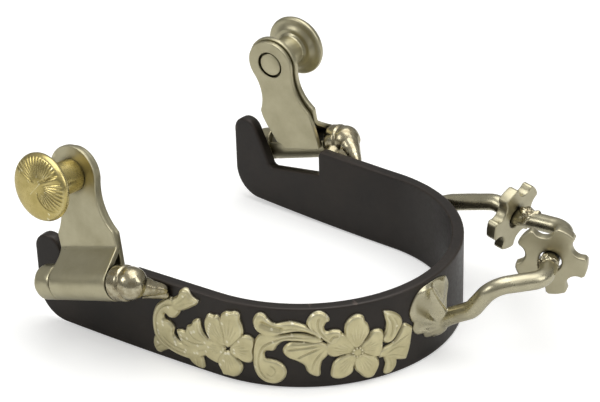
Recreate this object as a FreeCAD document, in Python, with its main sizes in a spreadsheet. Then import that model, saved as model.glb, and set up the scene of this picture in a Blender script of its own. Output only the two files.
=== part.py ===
import FreeCAD
import Part
import math
import os
import Sketcher
from FreeCAD import Placement, Rotation, Vector

# A western riding spur.  Millimetres, +X towards the shank at the back of the heel, +Y towards
# the horse (the inside of the foot), +Z up.  The origin is the centre of the round heel of the
# band, at half the band's height.  "Near" is the decorated outside (-Y), "far" the inside (+Y).

document = FreeCAD.newDocument("spur")

DIMENSIONS = [
    # heel band
    ("band_outer_r", 41.7), ("band_thick", 3.2), ("band_splay", 3.15), ("band_half_high", 11.4),
    ("arm_reach", 55.45), ("arm_rise_r", 852), ("toe_flat_x", 46.5),
    ("toe_flat_z", 10.2), ("toe_corner_z", 1.3), ("prong_r", 4.3), ("prong_x", 51.15),
    ("prong_z", 9.9), ("prong_slant", 26), ("slot_front_x", 42.15), ("slot_front_z", 1.4),
    ("slot_back_x", 24.15), ("slot_back_z", 4.1),
    # hinge on each arm, with the middle of each barrel measured along its pin
    ("hinge_x", 36.03), ("hinge_y", 49.7), ("hinge_z", 7.89), ("hinge_tilt", 16.27),
    ("near_barrel_at", 3.6), ("far_barrel_at", 0.3), ("barrel_half", 10.1), ("barrel_r", 4.7),
    ("sheet", 1.475), ("pin_r", 3.175), ("end_gap", 0.15), ("front_knuckle_long", 6.6),
    ("front_cap", 1.8), ("rear_knuckle_long", 4), ("ball_r", 4.6), ("ball_at", 14.1),
    ("pin_in_front", 4.5), ("pin_short_of_ball", 1), ("foot_half_high", 3), ("foot_inset", 0.6),
    ("front_foot_deep", 6.5), ("rear_foot_deep", 8), ("rear_foot_long", 6),
    ("tail_root_r", 3.6), ("tail_tip_x", 12.6), ("tail_tip_z", 9.6), ("tail_tip_r", 1.3),
    # swinging tab that carries the strap button
    ("tab_lean", 6), ("ply_outer", 3.25), ("flare", 36.4), ("plate_top", 36.5), ("head_at", 2.6),
    ("head_up", 27.6), ("head_r", 7.9), ("inner_head_r", 7.3), ("plate_gap", 0.02),
    # strap button
    ("button_tail_r", 3.45), ("button_neck_r", 4.35), ("button_neck_long", 8.3),
    ("button_head_r", 8.95), ("button_rim_at", 10.4), ("button_rim_thick", 1.1),
    ("button_high", 13.5), ("button_dish", 1.1),
    # shank rod and rowels
    ("rod_r", 2.3), ("rod_bend_r", 5.5), ("rod_level", 12), ("rod_sink", 0.7), ("rowel_r", 9.5),
    ("rowel_thick", 3), ("rowel_bore_r", 2.95), ("valley_r", 2.9), ("valley_at", 9.45),
    ("bead_r", 3.3), ("bead_lift", 0.3),
    ("flute_long", 7.2), ("flute_root_r", 1.5), ("flute_tip_r", 2.3),
    # soldered overlay
    ("overlay_thick", 1.3), ("overlay_high", 30), ("petal_r", 3.75), ("petal_at", 5.3),
]

sheet = document.addObject("Spreadsheet::Sheet", "size")
for row, (name, number) in enumerate(DIMENSIONS, start=1):
    sheet.set("A" + str(row), name)
    sheet.set("B" + str(row), str(number))
    sheet.setAlias("B" + str(row), name)
document.recompute()

NEAR = -1
FAR = 1
SIDES = (("near", NEAR), ("far", FAR))
BAND_PAD_HIGH = 44
OVERLAY_BLANK = 8
TEETH = 5
PETALS = 5
TRIM_REACH = 80
CURL_END = 62
SMALL = 1e-9


def value(expression):
    """Work an expression such as size.sheet * 2 out to a plain number."""
    result = sheet.evalExpression(str(expression))
    return float(getattr(result, "Value", result))


def bind(thing, **sizes):
    """Tie properties of a document object to expressions over the sheet."""
    for name, expression in sizes.items():
        thing.setExpression(name, str(expression))


# ---------------------------------------------------------------- sketch helpers

def new_body(label):
    body = document.addObject("PartDesign::Body", label)
    body.Label = label
    return body


def new_sketch(body, name, role, lift=0):
    """Add a sketch on one of the body's origin planes, raised along its normal by lift."""
    plane = next(item for item in body.Origin.OriginFeatures if item.Role == role)
    sketch = body.newObject("Sketcher::SketchObject", name)
    sketch.AttachmentSupport = [(plane, "")]
    sketch.MapMode = "FlatFace"
    sketch.AttachmentOffset = Placement(Vector(0, 0, value(lift)), Rotation())
    return sketch


def pin_across(sketch, geometry, end, kind, expression):
    """Fix one coordinate of a point: its distance from the sketch's origin along X or Y."""
    number = value(expression)
    if abs(number) < SMALL:
        axis = -2 if kind == "DistanceX" else -1
        sketch.addConstraint(Sketcher.Constraint("PointOnObject", geometry, end, axis))
        return
    index = sketch.addConstraint(Sketcher.Constraint(kind, -1, 1, geometry, end, number))
    sketch.setExpression("Constraints[" + str(index) + "]", str(expression))


def pin_point(sketch, geometry, end, x, y):
    """Fix one end of a curve at the expressions x and y, measured from the sketch's origin."""
    pin_across(sketch, geometry, end, "DistanceX", x)
    pin_across(sketch, geometry, end, "DistanceY", y)


def pin_centre(sketch, geometry, chord):
    """Fix how far an arc's centre stands off its chord, along the axis that measures it best."""
    centre = sketch.Geometry[geometry].Center
    if abs(chord.y) > abs(chord.x):
        pin_across(sketch, geometry, 3, "DistanceX", round(centre.x, 9))
    else:
        pin_across(sketch, geometry, 3, "DistanceY", round(centre.y, 9))


def draw_circle(sketch, x, y, radius):
    centre = Vector(value(x), value(y), 0)
    index = sketch.addGeometry(Part.Circle(centre, Vector(0, 0, 1), value(radius)))
    pin_point(sketch, index, 3, x, y)
    bound = sketch.addConstraint(Sketcher.Constraint("Radius", index, value(radius)))
    sketch.setExpression("Constraints[" + str(bound) + "]", str(radius))


def arc_curve(start, end, bulge):
    """Arc between two points, drawn anticlockwise as a sketch keeps its arcs.

    Bulge is the sagitta over half the chord, positive to the right of the way from start to end.
    """
    chord = end - start
    right = Vector(chord.y, -chord.x, 0)
    middle = (start + end) * 0.5 + right * (bulge * 0.5)
    return Part.Arc(start, middle, end) if bulge > 0 else Part.Arc(end, middle, start)


def draw_outline(sketch, start, steps):
    """Draw a closed outline.  Each step is (x, y) for a line, or (x, y, bulge) for an arc."""
    first = len(sketch.Geometry)
    corners = [start] + [step[:2] for step in steps]
    places = [Vector(value(x), value(y), 0) for x, y in corners]
    ends = []
    for index, step in enumerate(steps):
        bulge = step[2] if len(step) == 3 else 0
        begin, finish = places[index], places[index + 1]
        if bulge == 0:
            sketch.addGeometry(Part.LineSegment(begin, finish))
            ends.append((1, 2))
            continue
        geometry = sketch.addGeometry(arc_curve(begin, finish, bulge))
        ends.append((1, 2) if bulge > 0 else (2, 1))
        pin_centre(sketch, geometry, finish - begin)
    for index in range(len(steps)):
        following = (index + 1) % len(steps)
        here = first + index
        there = first + following
        joined = Sketcher.Constraint("Coincident", here, ends[index][1], there, ends[following][0])
        sketch.addConstraint(joined)
        x, y = corners[index]
        pin_point(sketch, here, ends[index][0], x, y)


def add_pad(body, sketch, length, reverse=False, both_ways=False):
    pad = body.newObject("PartDesign::Pad", sketch.Name + "_pad")
    pad.Profile = sketch
    pad.Reversed = reverse
    if both_ways:
        pad.SideType = "Symmetric"
    bind(pad, Length=length)
    return pad


def add_pocket(body, sketch):
    pocket = body.newObject("PartDesign::Pocket", sketch.Name + "_pocket")
    pocket.Profile = sketch
    pocket.Type = "ThroughAll"
    pocket.SideType = "Symmetric"
    return pocket


def trim_to_outline(body, name, start, steps):
    """Cut away everything that lies outside an outline drawn in the body's XZ plane."""
    sketch = new_sketch(body, name, "XZ_Plane")
    low, high = -TRIM_REACH, TRIM_REACH
    draw_outline(sketch, (low, low), [(high, low), (high, high), (low, high), (low, low)])
    draw_outline(sketch, start, steps)
    return add_pocket(body, sketch)


def polar_copies(body, feature, count):
    """Repeat a feature round the body's own Z axis."""
    pattern = body.newObject("PartDesign::PolarPattern", feature.Name + "_copies")
    pattern.Originals = [feature]
    axis = next(item for item in body.Origin.OriginFeatures if item.Role == "Z_Axis")
    pattern.Axis = (axis, [""])
    pattern.Angle = 360
    pattern.Occurrences = count
    body.Tip = pattern
    return pattern


# ---------------------------------------------------------------- part helpers

def primitive(kind, name, placement, **sizes):
    thing = document.addObject("Part::" + kind, name)
    bind(thing, **sizes)
    thing.Placement = placement
    return thing


def fuse(name, pieces):
    thing = document.addObject("Part::MultiFuse", name)
    thing.Shapes = pieces
    return thing


def cut(name, base, tool):
    thing = document.addObject("Part::Cut", name)
    thing.Base = base
    thing.Tool = tool
    thing.Label = name
    return thing


def common(name, base, tool):
    thing = document.addObject("Part::Common", name)
    thing.Base = base
    thing.Tool = tool
    thing.Label = name
    return thing


def pointing(base, direction):
    """Placement that stands a primitive's own Z axis along a direction."""
    return Placement(base, Rotation(Vector(0, 0, 1), direction))


ALONG_X = Rotation(Vector(0, 1, 0), 90)


def hinge_place(side, lean=0):
    """Frame of one hinge: X along the pin, Z up the tab, Y along the row's own Y."""
    centre = Vector(-value("size.hinge_x"), side * value("size.hinge_y"), value("size.hinge_z"))
    tilt = Rotation(Vector(0, 1, 0), -value("size.hinge_tilt"))
    swing = Rotation(Vector(1, 0, 0), side * lean)
    return Placement(centre, tilt.multiply(swing))


def barrel_at(side):
    """Middle of a barrel along its pin: the two hinges aren't set quite alike."""
    return value("size.near_barrel_at" if side == NEAR else "size.far_barrel_at")


def along_pin(side, start):
    """Placement that lies along the pin, from a start measured from the middle of the barrel."""
    return hinge_place(side).multiply(Placement(Vector(barrel_at(side) + start, 0, 0), ALONG_X))


# ---------------------------------------------------------------- heel band

SPLAY = "(size.band_splay * 1 deg)"


def band_plan(body, name, inner, outer):
    """The U of the band in plan: a round heel with two straight arms that spread forwards."""
    sketch = new_sketch(body, name, "XY_Plane")
    corners = []
    for radius in (outer, inner):
        toe_y = "((" + radius + ") / cos" + SPLAY + " + size.arm_reach * tan" + SPLAY + ")"
        heel_x = "(" + radius + ") * sin" + SPLAY
        heel_y = "(" + radius + ") * cos" + SPLAY
        corners.append((toe_y, heel_x, heel_y))
    (outer_toe, outer_x, outer_y), (inner_toe, inner_x, inner_y) = corners
    toe_x = "-size.arm_reach"
    # the round heel stops the splay angle short of a half circle at each end
    heel_bulge = math.tan(math.radians(90 - value("size.band_splay")) / 2)
    start = (toe_x, "-" + outer_toe)
    steps = [(outer_x, "-(" + outer_y + ")"), (outer_x, outer_y, heel_bulge),
             (toe_x, outer_toe), (toe_x, inner_toe), (inner_x, inner_y),
             (inner_x, "-(" + inner_y + ")", -heel_bulge), (toe_x, "-" + inner_toe), start]
    draw_outline(sketch, start, steps)
    return sketch


def band_side_view():
    """Outline of the band seen from the side: raised arms, round toe, prong and hinge slot."""
    slant = "(size.prong_slant * 1 deg)"
    prong_back = ("-size.prong_x + size.prong_r * cos" + slant,
                  "size.prong_z + size.prong_r * sin" + slant)
    prong_front = ("-size.arm_reach", "size.prong_z")
    slot_top = "size.band_half_high + size.slot_back_x * size.slot_back_x / (2 * size.arm_rise_r)"
    heel_x = "size.band_outer_r + 5"
    start = (heel_x, "-size.band_half_high")
    steps = [(heel_x, "size.band_half_high"), (0, "size.band_half_high"),
             ("-size.slot_back_x", slot_top), ("-size.slot_back_x", "size.slot_back_z"),
             ("-size.slot_front_x + 1.2", "size.slot_front_z + 0.1"),
             ("-size.slot_front_x - 0.8", "size.slot_front_z + 1.5", -0.45),
             prong_back, (*prong_front, 0.93), ("-size.arm_reach", "-size.toe_corner_z"),
             ("-size.toe_flat_x", "-size.toe_flat_z", 0.42),
             (0, "-size.band_half_high", 0.012), start]
    return start, steps


def make_band():
    body = new_body("band_stock")
    plan = band_plan(body, "band_plan", "size.band_outer_r - size.band_thick", "size.band_outer_r")
    add_pad(body, plan, BAND_PAD_HIGH, both_ways=True)
    start, steps = band_side_view()
    trim_to_outline(body, "band_side", start, steps)
    body.Label = "heel_band"
    return body


# ---------------------------------------------------------------- hinges

def foot_block(side, name, start, long, deep):
    """Block that ties a knuckle to the arm, from the pin inwards."""
    half = value("size.foot_half_high")
    y = -value(deep) if side == FAR else 0
    corner = Placement(Vector(barrel_at(side) + start, y, -half), Rotation())
    return primitive("Box", name, hinge_place(side).multiply(corner),
                     Length=long, Width=deep, Height="2 * size.foot_half_high")


def make_front_knuckle(side_name, side, band):
    """Closed knuckle at the toe end: a ring under a rounded cap, on a foot brazed to the arm."""
    label = side_name + "_front_knuckle"
    start = -value("size.barrel_half + size.end_gap + size.front_knuckle_long")
    cap_end = start + value("size.front_cap")
    ring = primitive("Cylinder", label + "_ring", along_pin(side, cap_end),
                     Radius="size.barrel_r", Height="size.front_knuckle_long - size.front_cap")
    cap = primitive("Ellipsoid", label + "_cap", along_pin(side, cap_end),
                    Radius1="size.front_cap", Radius2="size.barrel_r", Radius3="size.barrel_r")
    foot = foot_block(side, label + "_foot", start + value("size.foot_inset"),
                      "size.front_knuckle_long - size.foot_inset", "size.front_foot_deep")
    blank = fuse(label + "_blank", [ring, cap, foot])
    bore = primitive("Cylinder", label + "_bore", along_pin(side, pin_start()),
                     Radius="size.pin_r", Height="size.front_knuckle_long")
    return cut(label, cut(label + "_bored", blank, bore), band)


def make_rear_knuckle(side_name, side, band):
    """Rear knuckle with its ball end and the tail that tapers down on to the arm."""
    label = side_name + "_rear_knuckle"
    start = value("size.barrel_half + size.end_gap")
    ring = primitive("Cylinder", label + "_ring", along_pin(side, start),
                     Radius="size.barrel_r", Height="size.rear_knuckle_long")
    ball_place = along_pin(side, value("size.ball_at"))
    ball = primitive("Sphere", label + "_ball", ball_place, Radius="size.ball_r")
    splay = math.radians(value("size.band_splay"))
    tip_x = value("size.tail_tip_x")
    arm_y = value("size.band_outer_r") / math.cos(splay) + tip_x * math.tan(splay)
    tip = Vector(-tip_x, side * arm_y, value("size.tail_tip_z"))
    reach = tip - ball_place.Base
    tail = primitive("Cone", label + "_tail", pointing(ball_place.Base, reach),
                     Radius1="size.tail_root_r", Radius2="size.tail_tip_r", Height=reach.Length)
    end = primitive("Sphere", label + "_tip", Placement(tip, Rotation()), Radius="size.tail_tip_r")
    foot = foot_block(side, label + "_foot", start + value("size.foot_inset"),
                      "size.rear_foot_long", "size.rear_foot_deep")
    blank = fuse(label + "_blank", [ring, ball, tail, end, foot])
    bore = primitive("Cylinder", label + "_bore", along_pin(side, 0),
                     Radius="size.pin_r", Height=pin_end())
    return cut(label, cut(label + "_bored", blank, bore), band)


def pin_start():
    return -value("size.barrel_half + size.end_gap + size.pin_in_front")


def pin_end():
    return value("size.ball_at - size.pin_short_of_ball")


def make_pin(side_name, side):
    """Hinge pin, pressed into the knuckle at each end of the barrel."""
    return primitive("Cylinder", side_name + "_hinge_pin", along_pin(side, pin_start()),
                     Radius="size.pin_r", Height=pin_end() - pin_start())


# ---------------------------------------------------------------- swinging tabs

def mirrored(step):
    """The same outline step on the other side of the sketch's vertical axis."""
    return ("-1 * (" + step[0] + ")", step[1], *(-bulge for bulge in step[2:]))


def outer_plate_section(body, side):
    """Section of the outer plate: flat, flared over the pin and curled round it."""
    sketch = new_sketch(body, body.Name + "_section", "YZ_Plane", lift=-PLATE_BLANK / 2)
    flare = "(size.flare * 1 deg)"
    outside = "size.barrel_r"
    inside = "(size.barrel_r - size.sheet)"
    inner_ply = "(size.ply_outer + size.sheet)"

    def tangent(radius):
        return ("-" + radius + " * sin" + flare, radius + " * cos" + flare)

    def bend(radius, ply):
        run = "((" + ply + " + " + radius + " * sin" + flare + ") / cos" + flare + ")"
        return (ply, radius + " * cos" + flare + " + " + run + " * sin" + flare)

    def curl_end(radius):
        turned = "(" + str(CURL_END) + " deg)"
        return (radius + " * sin" + turned, radius + " * cos" + turned)

    # the curl runs from the flare's tangent point under the pin and up on the inside
    sweep = 360 - CURL_END - value("size.flare")
    bulge = math.tan(math.radians(sweep) / 4)
    start = ("size.ply_outer", "size.plate_top")
    steps = [bend(outside, "size.ply_outer"), tangent(outside), (*curl_end(outside), bulge),
             curl_end(inside), (*tangent(inside), -bulge), bend(inside, inner_ply),
             (inner_ply, "size.plate_top"), start]
    if side == FAR:
        start = mirrored(start)
        steps = [mirrored(step) for step in steps]
    draw_outline(sketch, start, steps)
    return sketch


# flanks of the plates below their shoulders, measured along the pin
LEFT_FLANK = -7.5
RIGHT_FLANK = {"near": (12.3, 12.6), "far": (11.3, 10.7)}
INNER_FLANK = {"near": (12.1, 11.8), "far": (10.3, 10.4)}
PLATE_BLANK = 40
WAIST = 0.2


def tab_outline(head_r, shoulders, foot):
    """Upper part of a tab plate: round head on a narrow waist above two angled shoulders."""
    left, right = shoulders
    head_low = "size.head_up - " + head_r + " * 0.375"
    head_half = head_r + " * 0.927"
    return [(right[0], right[1]),
            ("size.head_at + " + head_half, head_low, -WAIST),
            ("size.head_at - " + head_half, head_low, 1.47),
            (left[0], left[1], -WAIST)] + foot


def make_outer_plate(side_name, side):
    body = new_body(side_name + "_tab_outer_plate")
    add_pad(body, outer_plate_section(body, side), PLATE_BLANK)
    middle = "size." + side_name + "_barrel_at"
    left = middle + " - size.barrel_half"
    right = middle + " + size.barrel_half"
    low = "-size.barrel_r - 1"
    shoulder, bend = RIGHT_FLANK[side_name]
    start = (left, low)
    steps = [(right, low), (right, 5.2), (bend, 8.2)]
    left_foot = [(LEFT_FLANK, 8.6), (left, 5.4), start]
    steps += tab_outline("size.head_r", ((LEFT_FLANK, 12.2), (shoulder, 12.3)), left_foot)
    trim_to_outline(body, body.Name + "_outline", start, steps)
    drill_for_button(body)
    body.Placement = hinge_place(side, value("size.tab_lean"))
    return body


def drill_for_button(body):
    sketch = new_sketch(body, body.Name + "_hole", "XZ_Plane")
    draw_circle(sketch, "size.head_at", "size.head_up", "size.button_tail_r + size.plate_gap")
    add_pocket(body, sketch)


def make_inner_plate(side_name, side):
    body = new_body(side_name + "_tab_inner_plate")
    inward = "size.ply_outer + size.sheet + size.plate_gap"
    lift = "-(" + inward + ")" if side == NEAR else inward
    sketch = new_sketch(body, body.Name + "_outline", "XZ_Plane", lift=lift)
    shoulder, foot = INNER_FLANK[side_name]
    start = (-3.2, 0.9)
    steps = [(foot, 0.2), (foot, 7)]
    left_foot = [(-6.5, 9.6), (-4.6, 3), (-3.2, 0.9, -0.3)]
    steps += tab_outline("size.inner_head_r", ((-6.6, 13.8), (shoulder, 11.6)), left_foot)
    draw_outline(sketch, start, steps)
    add_pad(body, sketch, "size.sheet", reverse=side == NEAR)
    drill_for_button(body)
    body.Placement = hinge_place(side, value("size.tab_lean"))
    return body


def make_button(side_name, side):
    """Turned strap button: riveted tail, straight neck, dished underside and domed head."""
    body = new_body(side_name + "_button")
    sketch = new_sketch(body, body.Name + "_profile", "XZ_Plane")
    tail = "-(2 * size.sheet + size.plate_gap)"
    rim_top = "size.button_rim_at + size.button_rim_thick"
    rise = value("size.button_high") - value(rim_top)
    dome = math.tan(math.atan2(rise, value("size.button_head_r") - 0.3) / 2)
    start = (0, tail)
    steps = [("size.button_tail_r", tail), ("size.button_tail_r", 0), ("size.button_neck_r", 0),
             ("size.button_neck_r", "size.button_neck_long"),
             ("size.button_head_r - size.button_dish", "size.button_rim_at - 0.5", -0.08),
             ("size.button_head_r", "size.button_rim_at", 0.3),
             ("size.button_head_r - 0.3", rim_top, 0.5), (0, "size.button_high", dome), start]
    draw_outline(sketch, start, steps)
    turned = body.newObject("PartDesign::Revolution", body.Name + "_turned")
    turned.Profile = sketch
    turned.ReferenceAxis = (sketch, ["V_Axis"])
    turned.Angle = 360
    outward = Rotation(Vector(1, 0, 0), 90 if side == NEAR else -90)
    seat = Vector(value("size.head_at"), -side * value("size.ply_outer"), value("size.head_up"))
    frame = hinge_place(side, value("size.tab_lean"))
    body.Placement = frame.multiply(Placement(seat, outward))
    return body


# ---------------------------------------------------------------- shank and rowels

def rounded_path(points, radius):
    """Straight runs through the points with every bend rounded to the same radius."""
    edges = []
    begin = points[0]
    for here, after in zip(points[1:-1], points[2:]):
        back = (begin - here).normalize()
        ahead = (after - here).normalize()
        half = back.getAngle(ahead) / 2
        setback = radius / math.tan(half)
        first = here + back * setback
        last = here + ahead * setback
        toward = (back + ahead).normalize()
        middle = here + toward * (radius / math.sin(half) - radius)
        edges.append(Part.LineSegment(begin, first).toShape())
        edges.append(Part.Arc(first, middle, last).toShape())
        begin = last
    edges.append(Part.LineSegment(begin, points[-1]).toShape())
    return Part.Wire(edges)


def polar(radius, degrees, z):
    angle = math.radians(degrees)
    return Vector(radius * math.cos(angle), radius * math.sin(angle), z)


FLUTES = 5
FLUTE_STEP = 30
NEAR_FOOT_ANGLE = -1.5
NEAR_FOOT_Z = -2.6
NEAR_FIRST_FLUTE = 90
FAR_FOOT_ANGLE = 67
FAR_FOOT_Z = 5
FAR_FIRST_FLUTE = -78
# each rowel hangs on the rod: its centre, the way its axis points and the turn of its teeth
ROWELS = {
    "bar_rowel": (Vector(62.05, 20.7, 11.55), Vector(-0.292, 0.956, 0), 58.5),
    "leg_rowel": (Vector(40.85, 37.79, 10.55), Vector(-0.981, 0.103, 0.163), 5.2),
}

# braze beads: the point on the rod, and the way the rod runs there
BEADS = {
    "bar_bead": (Vector(63.19, 16.97, 11.55), Vector(-0.292, 0.956, 0)),
    "leg_bead": (Vector(46, 37.3, 11.1), Vector(-0.981, 0.103, 0.163)),
}


def shank_route():
    """Corners of the bent rod: out of the heel, across behind it, and back along the far side.

    The run back along the far side dips where its rowel hangs.
    """
    level = value("size.rod_level")
    root_r = value("size.band_outer_r - size.rod_sink")
    return [polar(root_r, NEAR_FOOT_ANGLE, NEAR_FOOT_Z), Vector(51.8, -0.9, 4),
            Vector(57.6, -1, level + 0.3), Vector(66.2, 10.1, level), Vector(62, 20.9, level),
            Vector(58.5, 36.4, level), Vector(40.8, 37.7, level - 1.3),
            Vector(35.6, 38.4, level + 0.9), Vector(20.5, 39.9, level - 4),
            polar(root_r, FAR_FOOT_ANGLE + 2, FAR_FOOT_Z + 0.5)]


def make_shank(band):
    spine = document.addObject("Part::Feature", "shank_spine")
    route = shank_route()
    spine.Shape = rounded_path(route, value("size.rod_bend_r"))
    ring = primitive("Circle", "shank_section", pointing(route[0], route[1] - route[0]),
                     Radius="size.rod_r")
    rod = document.addObject("Part::Sweep", "shank_rod")
    rod.Sections = [ring]
    rod.Spine = (spine, ["Edge" + str(index + 1) for index in range(len(spine.Shape.Edges))])
    rod.Solid = True
    rod.Frenet = False
    pieces = [rod]
    pieces += foot_flutes("near_foot", NEAR_FOOT_ANGLE, NEAR_FOOT_Z, NEAR_FIRST_FLUTE)
    pieces += foot_flutes("far_foot", FAR_FOOT_ANGLE, FAR_FOOT_Z, FAR_FIRST_FLUTE)
    return cut("shank", fuse("shank_blank", pieces), band)


def foot_flutes(name, degrees, z, first_angle):
    """Scallop foot: flutes that fan out over the band from the root of the rod."""
    flutes = []
    root = polar(value("size.band_outer_r"), degrees, z)
    outward = Rotation(Vector(0, 0, 1), degrees)
    for index in range(FLUTES):
        fan = math.radians(first_angle + index * FLUTE_STEP)
        along = outward.multVec(Vector(0, math.cos(fan), math.sin(fan)))
        end = root + along * value("size.flute_long")
        label = name + "_flute_" + str(index)
        flutes.append(primitive("Cone", label, pointing(root, along), Radius1="size.flute_root_r",
                                Radius2="size.flute_tip_r", Height="size.flute_long"))
        flutes.append(primitive("Sphere", label + "_tip", Placement(end, Rotation()),
                                Radius="size.flute_tip_r"))
    return flutes


def make_rowel(label, centre, axis, phase):
    """Five-toothed rowel: a disc with round valleys cut between blunt teeth."""
    body = new_body(label)
    disc = new_sketch(body, label + "_disc", "XY_Plane", lift="-size.rowel_thick / 2")
    draw_circle(disc, 0, 0, "size.rowel_r")
    draw_circle(disc, 0, 0, "size.rowel_bore_r")
    add_pad(body, disc, "size.rowel_thick")
    valley = new_sketch(body, label + "_valley", "XY_Plane")
    draw_circle(valley, "size.valley_at", 0, "size.valley_r")
    polar_copies(body, add_pocket(body, valley), TEETH)
    stand = Rotation(Vector(0, 0, 1), axis)
    body.Placement = Placement(centre, stand.multiply(Rotation(Vector(0, 0, 1), phase)))
    return body


def make_bead(label, place, axis, shank):
    """Bead of braze on the rod that keeps a rowel from running off its place."""
    raised = place + Vector(0, 0, value("size.bead_lift"))
    ball = primitive("Sphere", label + "_ball", pointing(raised, axis), Radius="size.bead_r")
    return cut(label, ball, shank)


# ---------------------------------------------------------------- overlay

def surface_place(along, z):
    """Frame on the near outer face: X towards the heel, Y into the band, Z up."""
    radius = value("size.band_outer_r")
    splay = math.radians(value("size.band_splay"))
    round_end = radius * (math.pi / 2 - splay)
    if along <= round_end:
        angle = along / radius
        base = Vector(radius * math.cos(angle), -radius * math.sin(angle), z)
        turn = 90 - math.degrees(angle)
    else:
        run = along - round_end
        base = Vector(radius * math.sin(splay) - run * math.cos(splay),
                      -radius * math.cos(splay) - run * math.sin(splay), z)
        turn = math.degrees(splay)
    return Placement(base, Rotation(Vector(0, 0, 1), turn))


def make_skin():
    """Thin layer on the outside of the band that the overlay pieces are cut from."""
    body = new_body("overlay_skin")
    outer = "size.band_outer_r + size.overlay_thick"
    add_pad(body, band_plan(body, "skin_plan", "size.band_outer_r", outer), "size.overlay_high",
            both_ways=True)
    return body


def make_flower(label, along, z, phase, skin):
    body = new_body(label + "_blank")
    petal = new_sketch(body, label + "_petal", "XY_Plane", lift=-OVERLAY_BLANK / 2)
    draw_circle(petal, "size.petal_at", 0, "size.petal_r")
    polar_copies(body, add_pad(body, petal, OVERLAY_BLANK), PETALS)
    upright = Rotation(Vector(1, 0, 0), 90).multiply(Rotation(Vector(0, 0, 1), phase))
    body.Placement = surface_place(along, z).multiply(Placement(Vector(), upright))
    return common(label, body, skin)


def make_ornament(label, along, start, steps, skin, neighbours):
    """Overlay piece from an outline drawn in the face, x towards the heel and y up."""
    body = new_body(label + "_blank")
    sketch = new_sketch(body, label + "_outline", "XZ_Plane")
    draw_outline(sketch, start, steps)
    add_pad(body, sketch, OVERLAY_BLANK, both_ways=True)
    body.Placement = surface_place(along, 0)
    return cut(label, common(label + "_layer", body, skin), neighbours)


def make_overlay():
    """Six pieces in a row along the near side, each cut to butt against its neighbours."""
    skin = make_skin()
    front_flower = make_flower("overlay_front_flower", 60, -1.6, 18, skin)
    rear_flower = make_flower("overlay_rear_flower", 27.3, -1.4, 18, skin)
    start = (-8.5, -8.4)
    outline = [(5, -7.6, 0.1), (5.4, -10, 0.1), (8.2, -9.6, 0.2), (6.4, -4, -0.1),
               (8.4, 0.8, -0.2), (7, 3.6, 0.2), (3, 0.6, 0.1), (-0.6, -1.4, 0.1), (-1.6, -3.6, -0.2),
               (-4.6, 1.2, -0.4), (0.4, 4.6, 0.3), (6.8, 9.2, 0.15), (2.8, 11.2, 0.2),
               (-0.2, 8.8, -0.1), (-7.8, -3.4, 0.5), (-8.5, -8.4, 0.3)]
    front_scroll = make_ornament("overlay_front_scroll", 74.8, start, outline, skin, front_flower)
    start = (-5.2, -4)
    outline = [(3.2, -6.6, 0.75), (-2, -2.8, 0.5), (-1.6, -0.6, -0.2), (3.4, 2.6, -0.2),
               (7.6, 3.6, -0.1), (5.6, 8, 0.1), (-1, 7.6, -0.15), (-4.6, 8, 0.7),
               (-5.2, -4, -0.1)]
    middle_scroll = make_ornament("overlay_middle_scroll", 48.2, start, outline, skin, front_flower)
    start = (-5.4, -0.4)
    outline = [(-2, -3.4, 0.25), (3.4, -7.6, 0.3), (4.6, -2.6, -0.1), (5.4, 3.4, 0.1),
               (4.4, 6.4, 0.1), (4.2, 8.8, 0.3), (0.4, 7.2, 0.7), (-1.9, 2.4, -0.2),
               (-5.4, -0.4, 0.15)]
    neighbours = fuse("leaf_neighbours", [rear_flower, middle_scroll])
    leaves = make_ornament("overlay_leaves", 40, start, outline, skin, neighbours)
    start = (-1.4, -5.2)
    outline = [(-1.4, -10, 0.1), (2.2, -7.4, 0.3), (5.2, -8, 0.1), (7.2, 0.4, 0.1), (3.8, 3, -0.1),
               (-1.4, 7.8, 0.25), (-1.9, 2.4, -0.2), (-1.4, -5.2, 0.05)]
    rear_leaf = make_ornament("overlay_rear_leaf", 18.4, start, outline, skin, rear_flower)
    return [front_flower, rear_flower, front_scroll, middle_scroll, leaves, rear_leaf]


# ---------------------------------------------------------------- build and check

def build():
    band = make_band()
    parts = {"heel_band": band}
    for side_name, side in SIDES:
        pieces = [make_front_knuckle(side_name, side, band), make_rear_knuckle(side_name, side, band),
                  make_pin(side_name, side), make_outer_plate(side_name, side),
                  make_inner_plate(side_name, side), make_button(side_name, side)]
        parts.update((piece.Label, piece) for piece in pieces)
    shank = make_shank(band)
    parts["shank"] = shank
    for label, (centre, axis, phase) in ROWELS.items():
        parts[label] = make_rowel(label, centre, axis, phase)
    for label, (place, axis) in BEADS.items():
        parts[label] = make_bead(label, place, axis, shank)
    parts.update((piece.Label, piece) for piece in make_overlay())
    return parts


def check(parts):
    for thing in document.Objects:
        failed = [state for state in thing.State if state in ("Invalid", "Error")]
        if failed:
            raise RuntimeError(thing.Label + " is " + failed[0])
    for label, thing in parts.items():
        shape = thing.Shape
        if shape.isNull() or not shape.isValid() or not shape.Solids:
            raise RuntimeError(label + " has no valid solid")


def write(parts):
    os.makedirs("parts", exist_ok=True)
    for label, thing in parts.items():
        thing.Shape.exportStep(os.path.join("parts", label + ".step"))
        print(label, len(thing.Shape.Solids), "solid", round(thing.Shape.Volume, 1), "mm3")


PARTS = build()
document.recompute()
check(PARTS)
write(PARTS)
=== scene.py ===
import math

import bpy
import numpy as np
from mathutils import Matrix, Vector, noise


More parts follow.
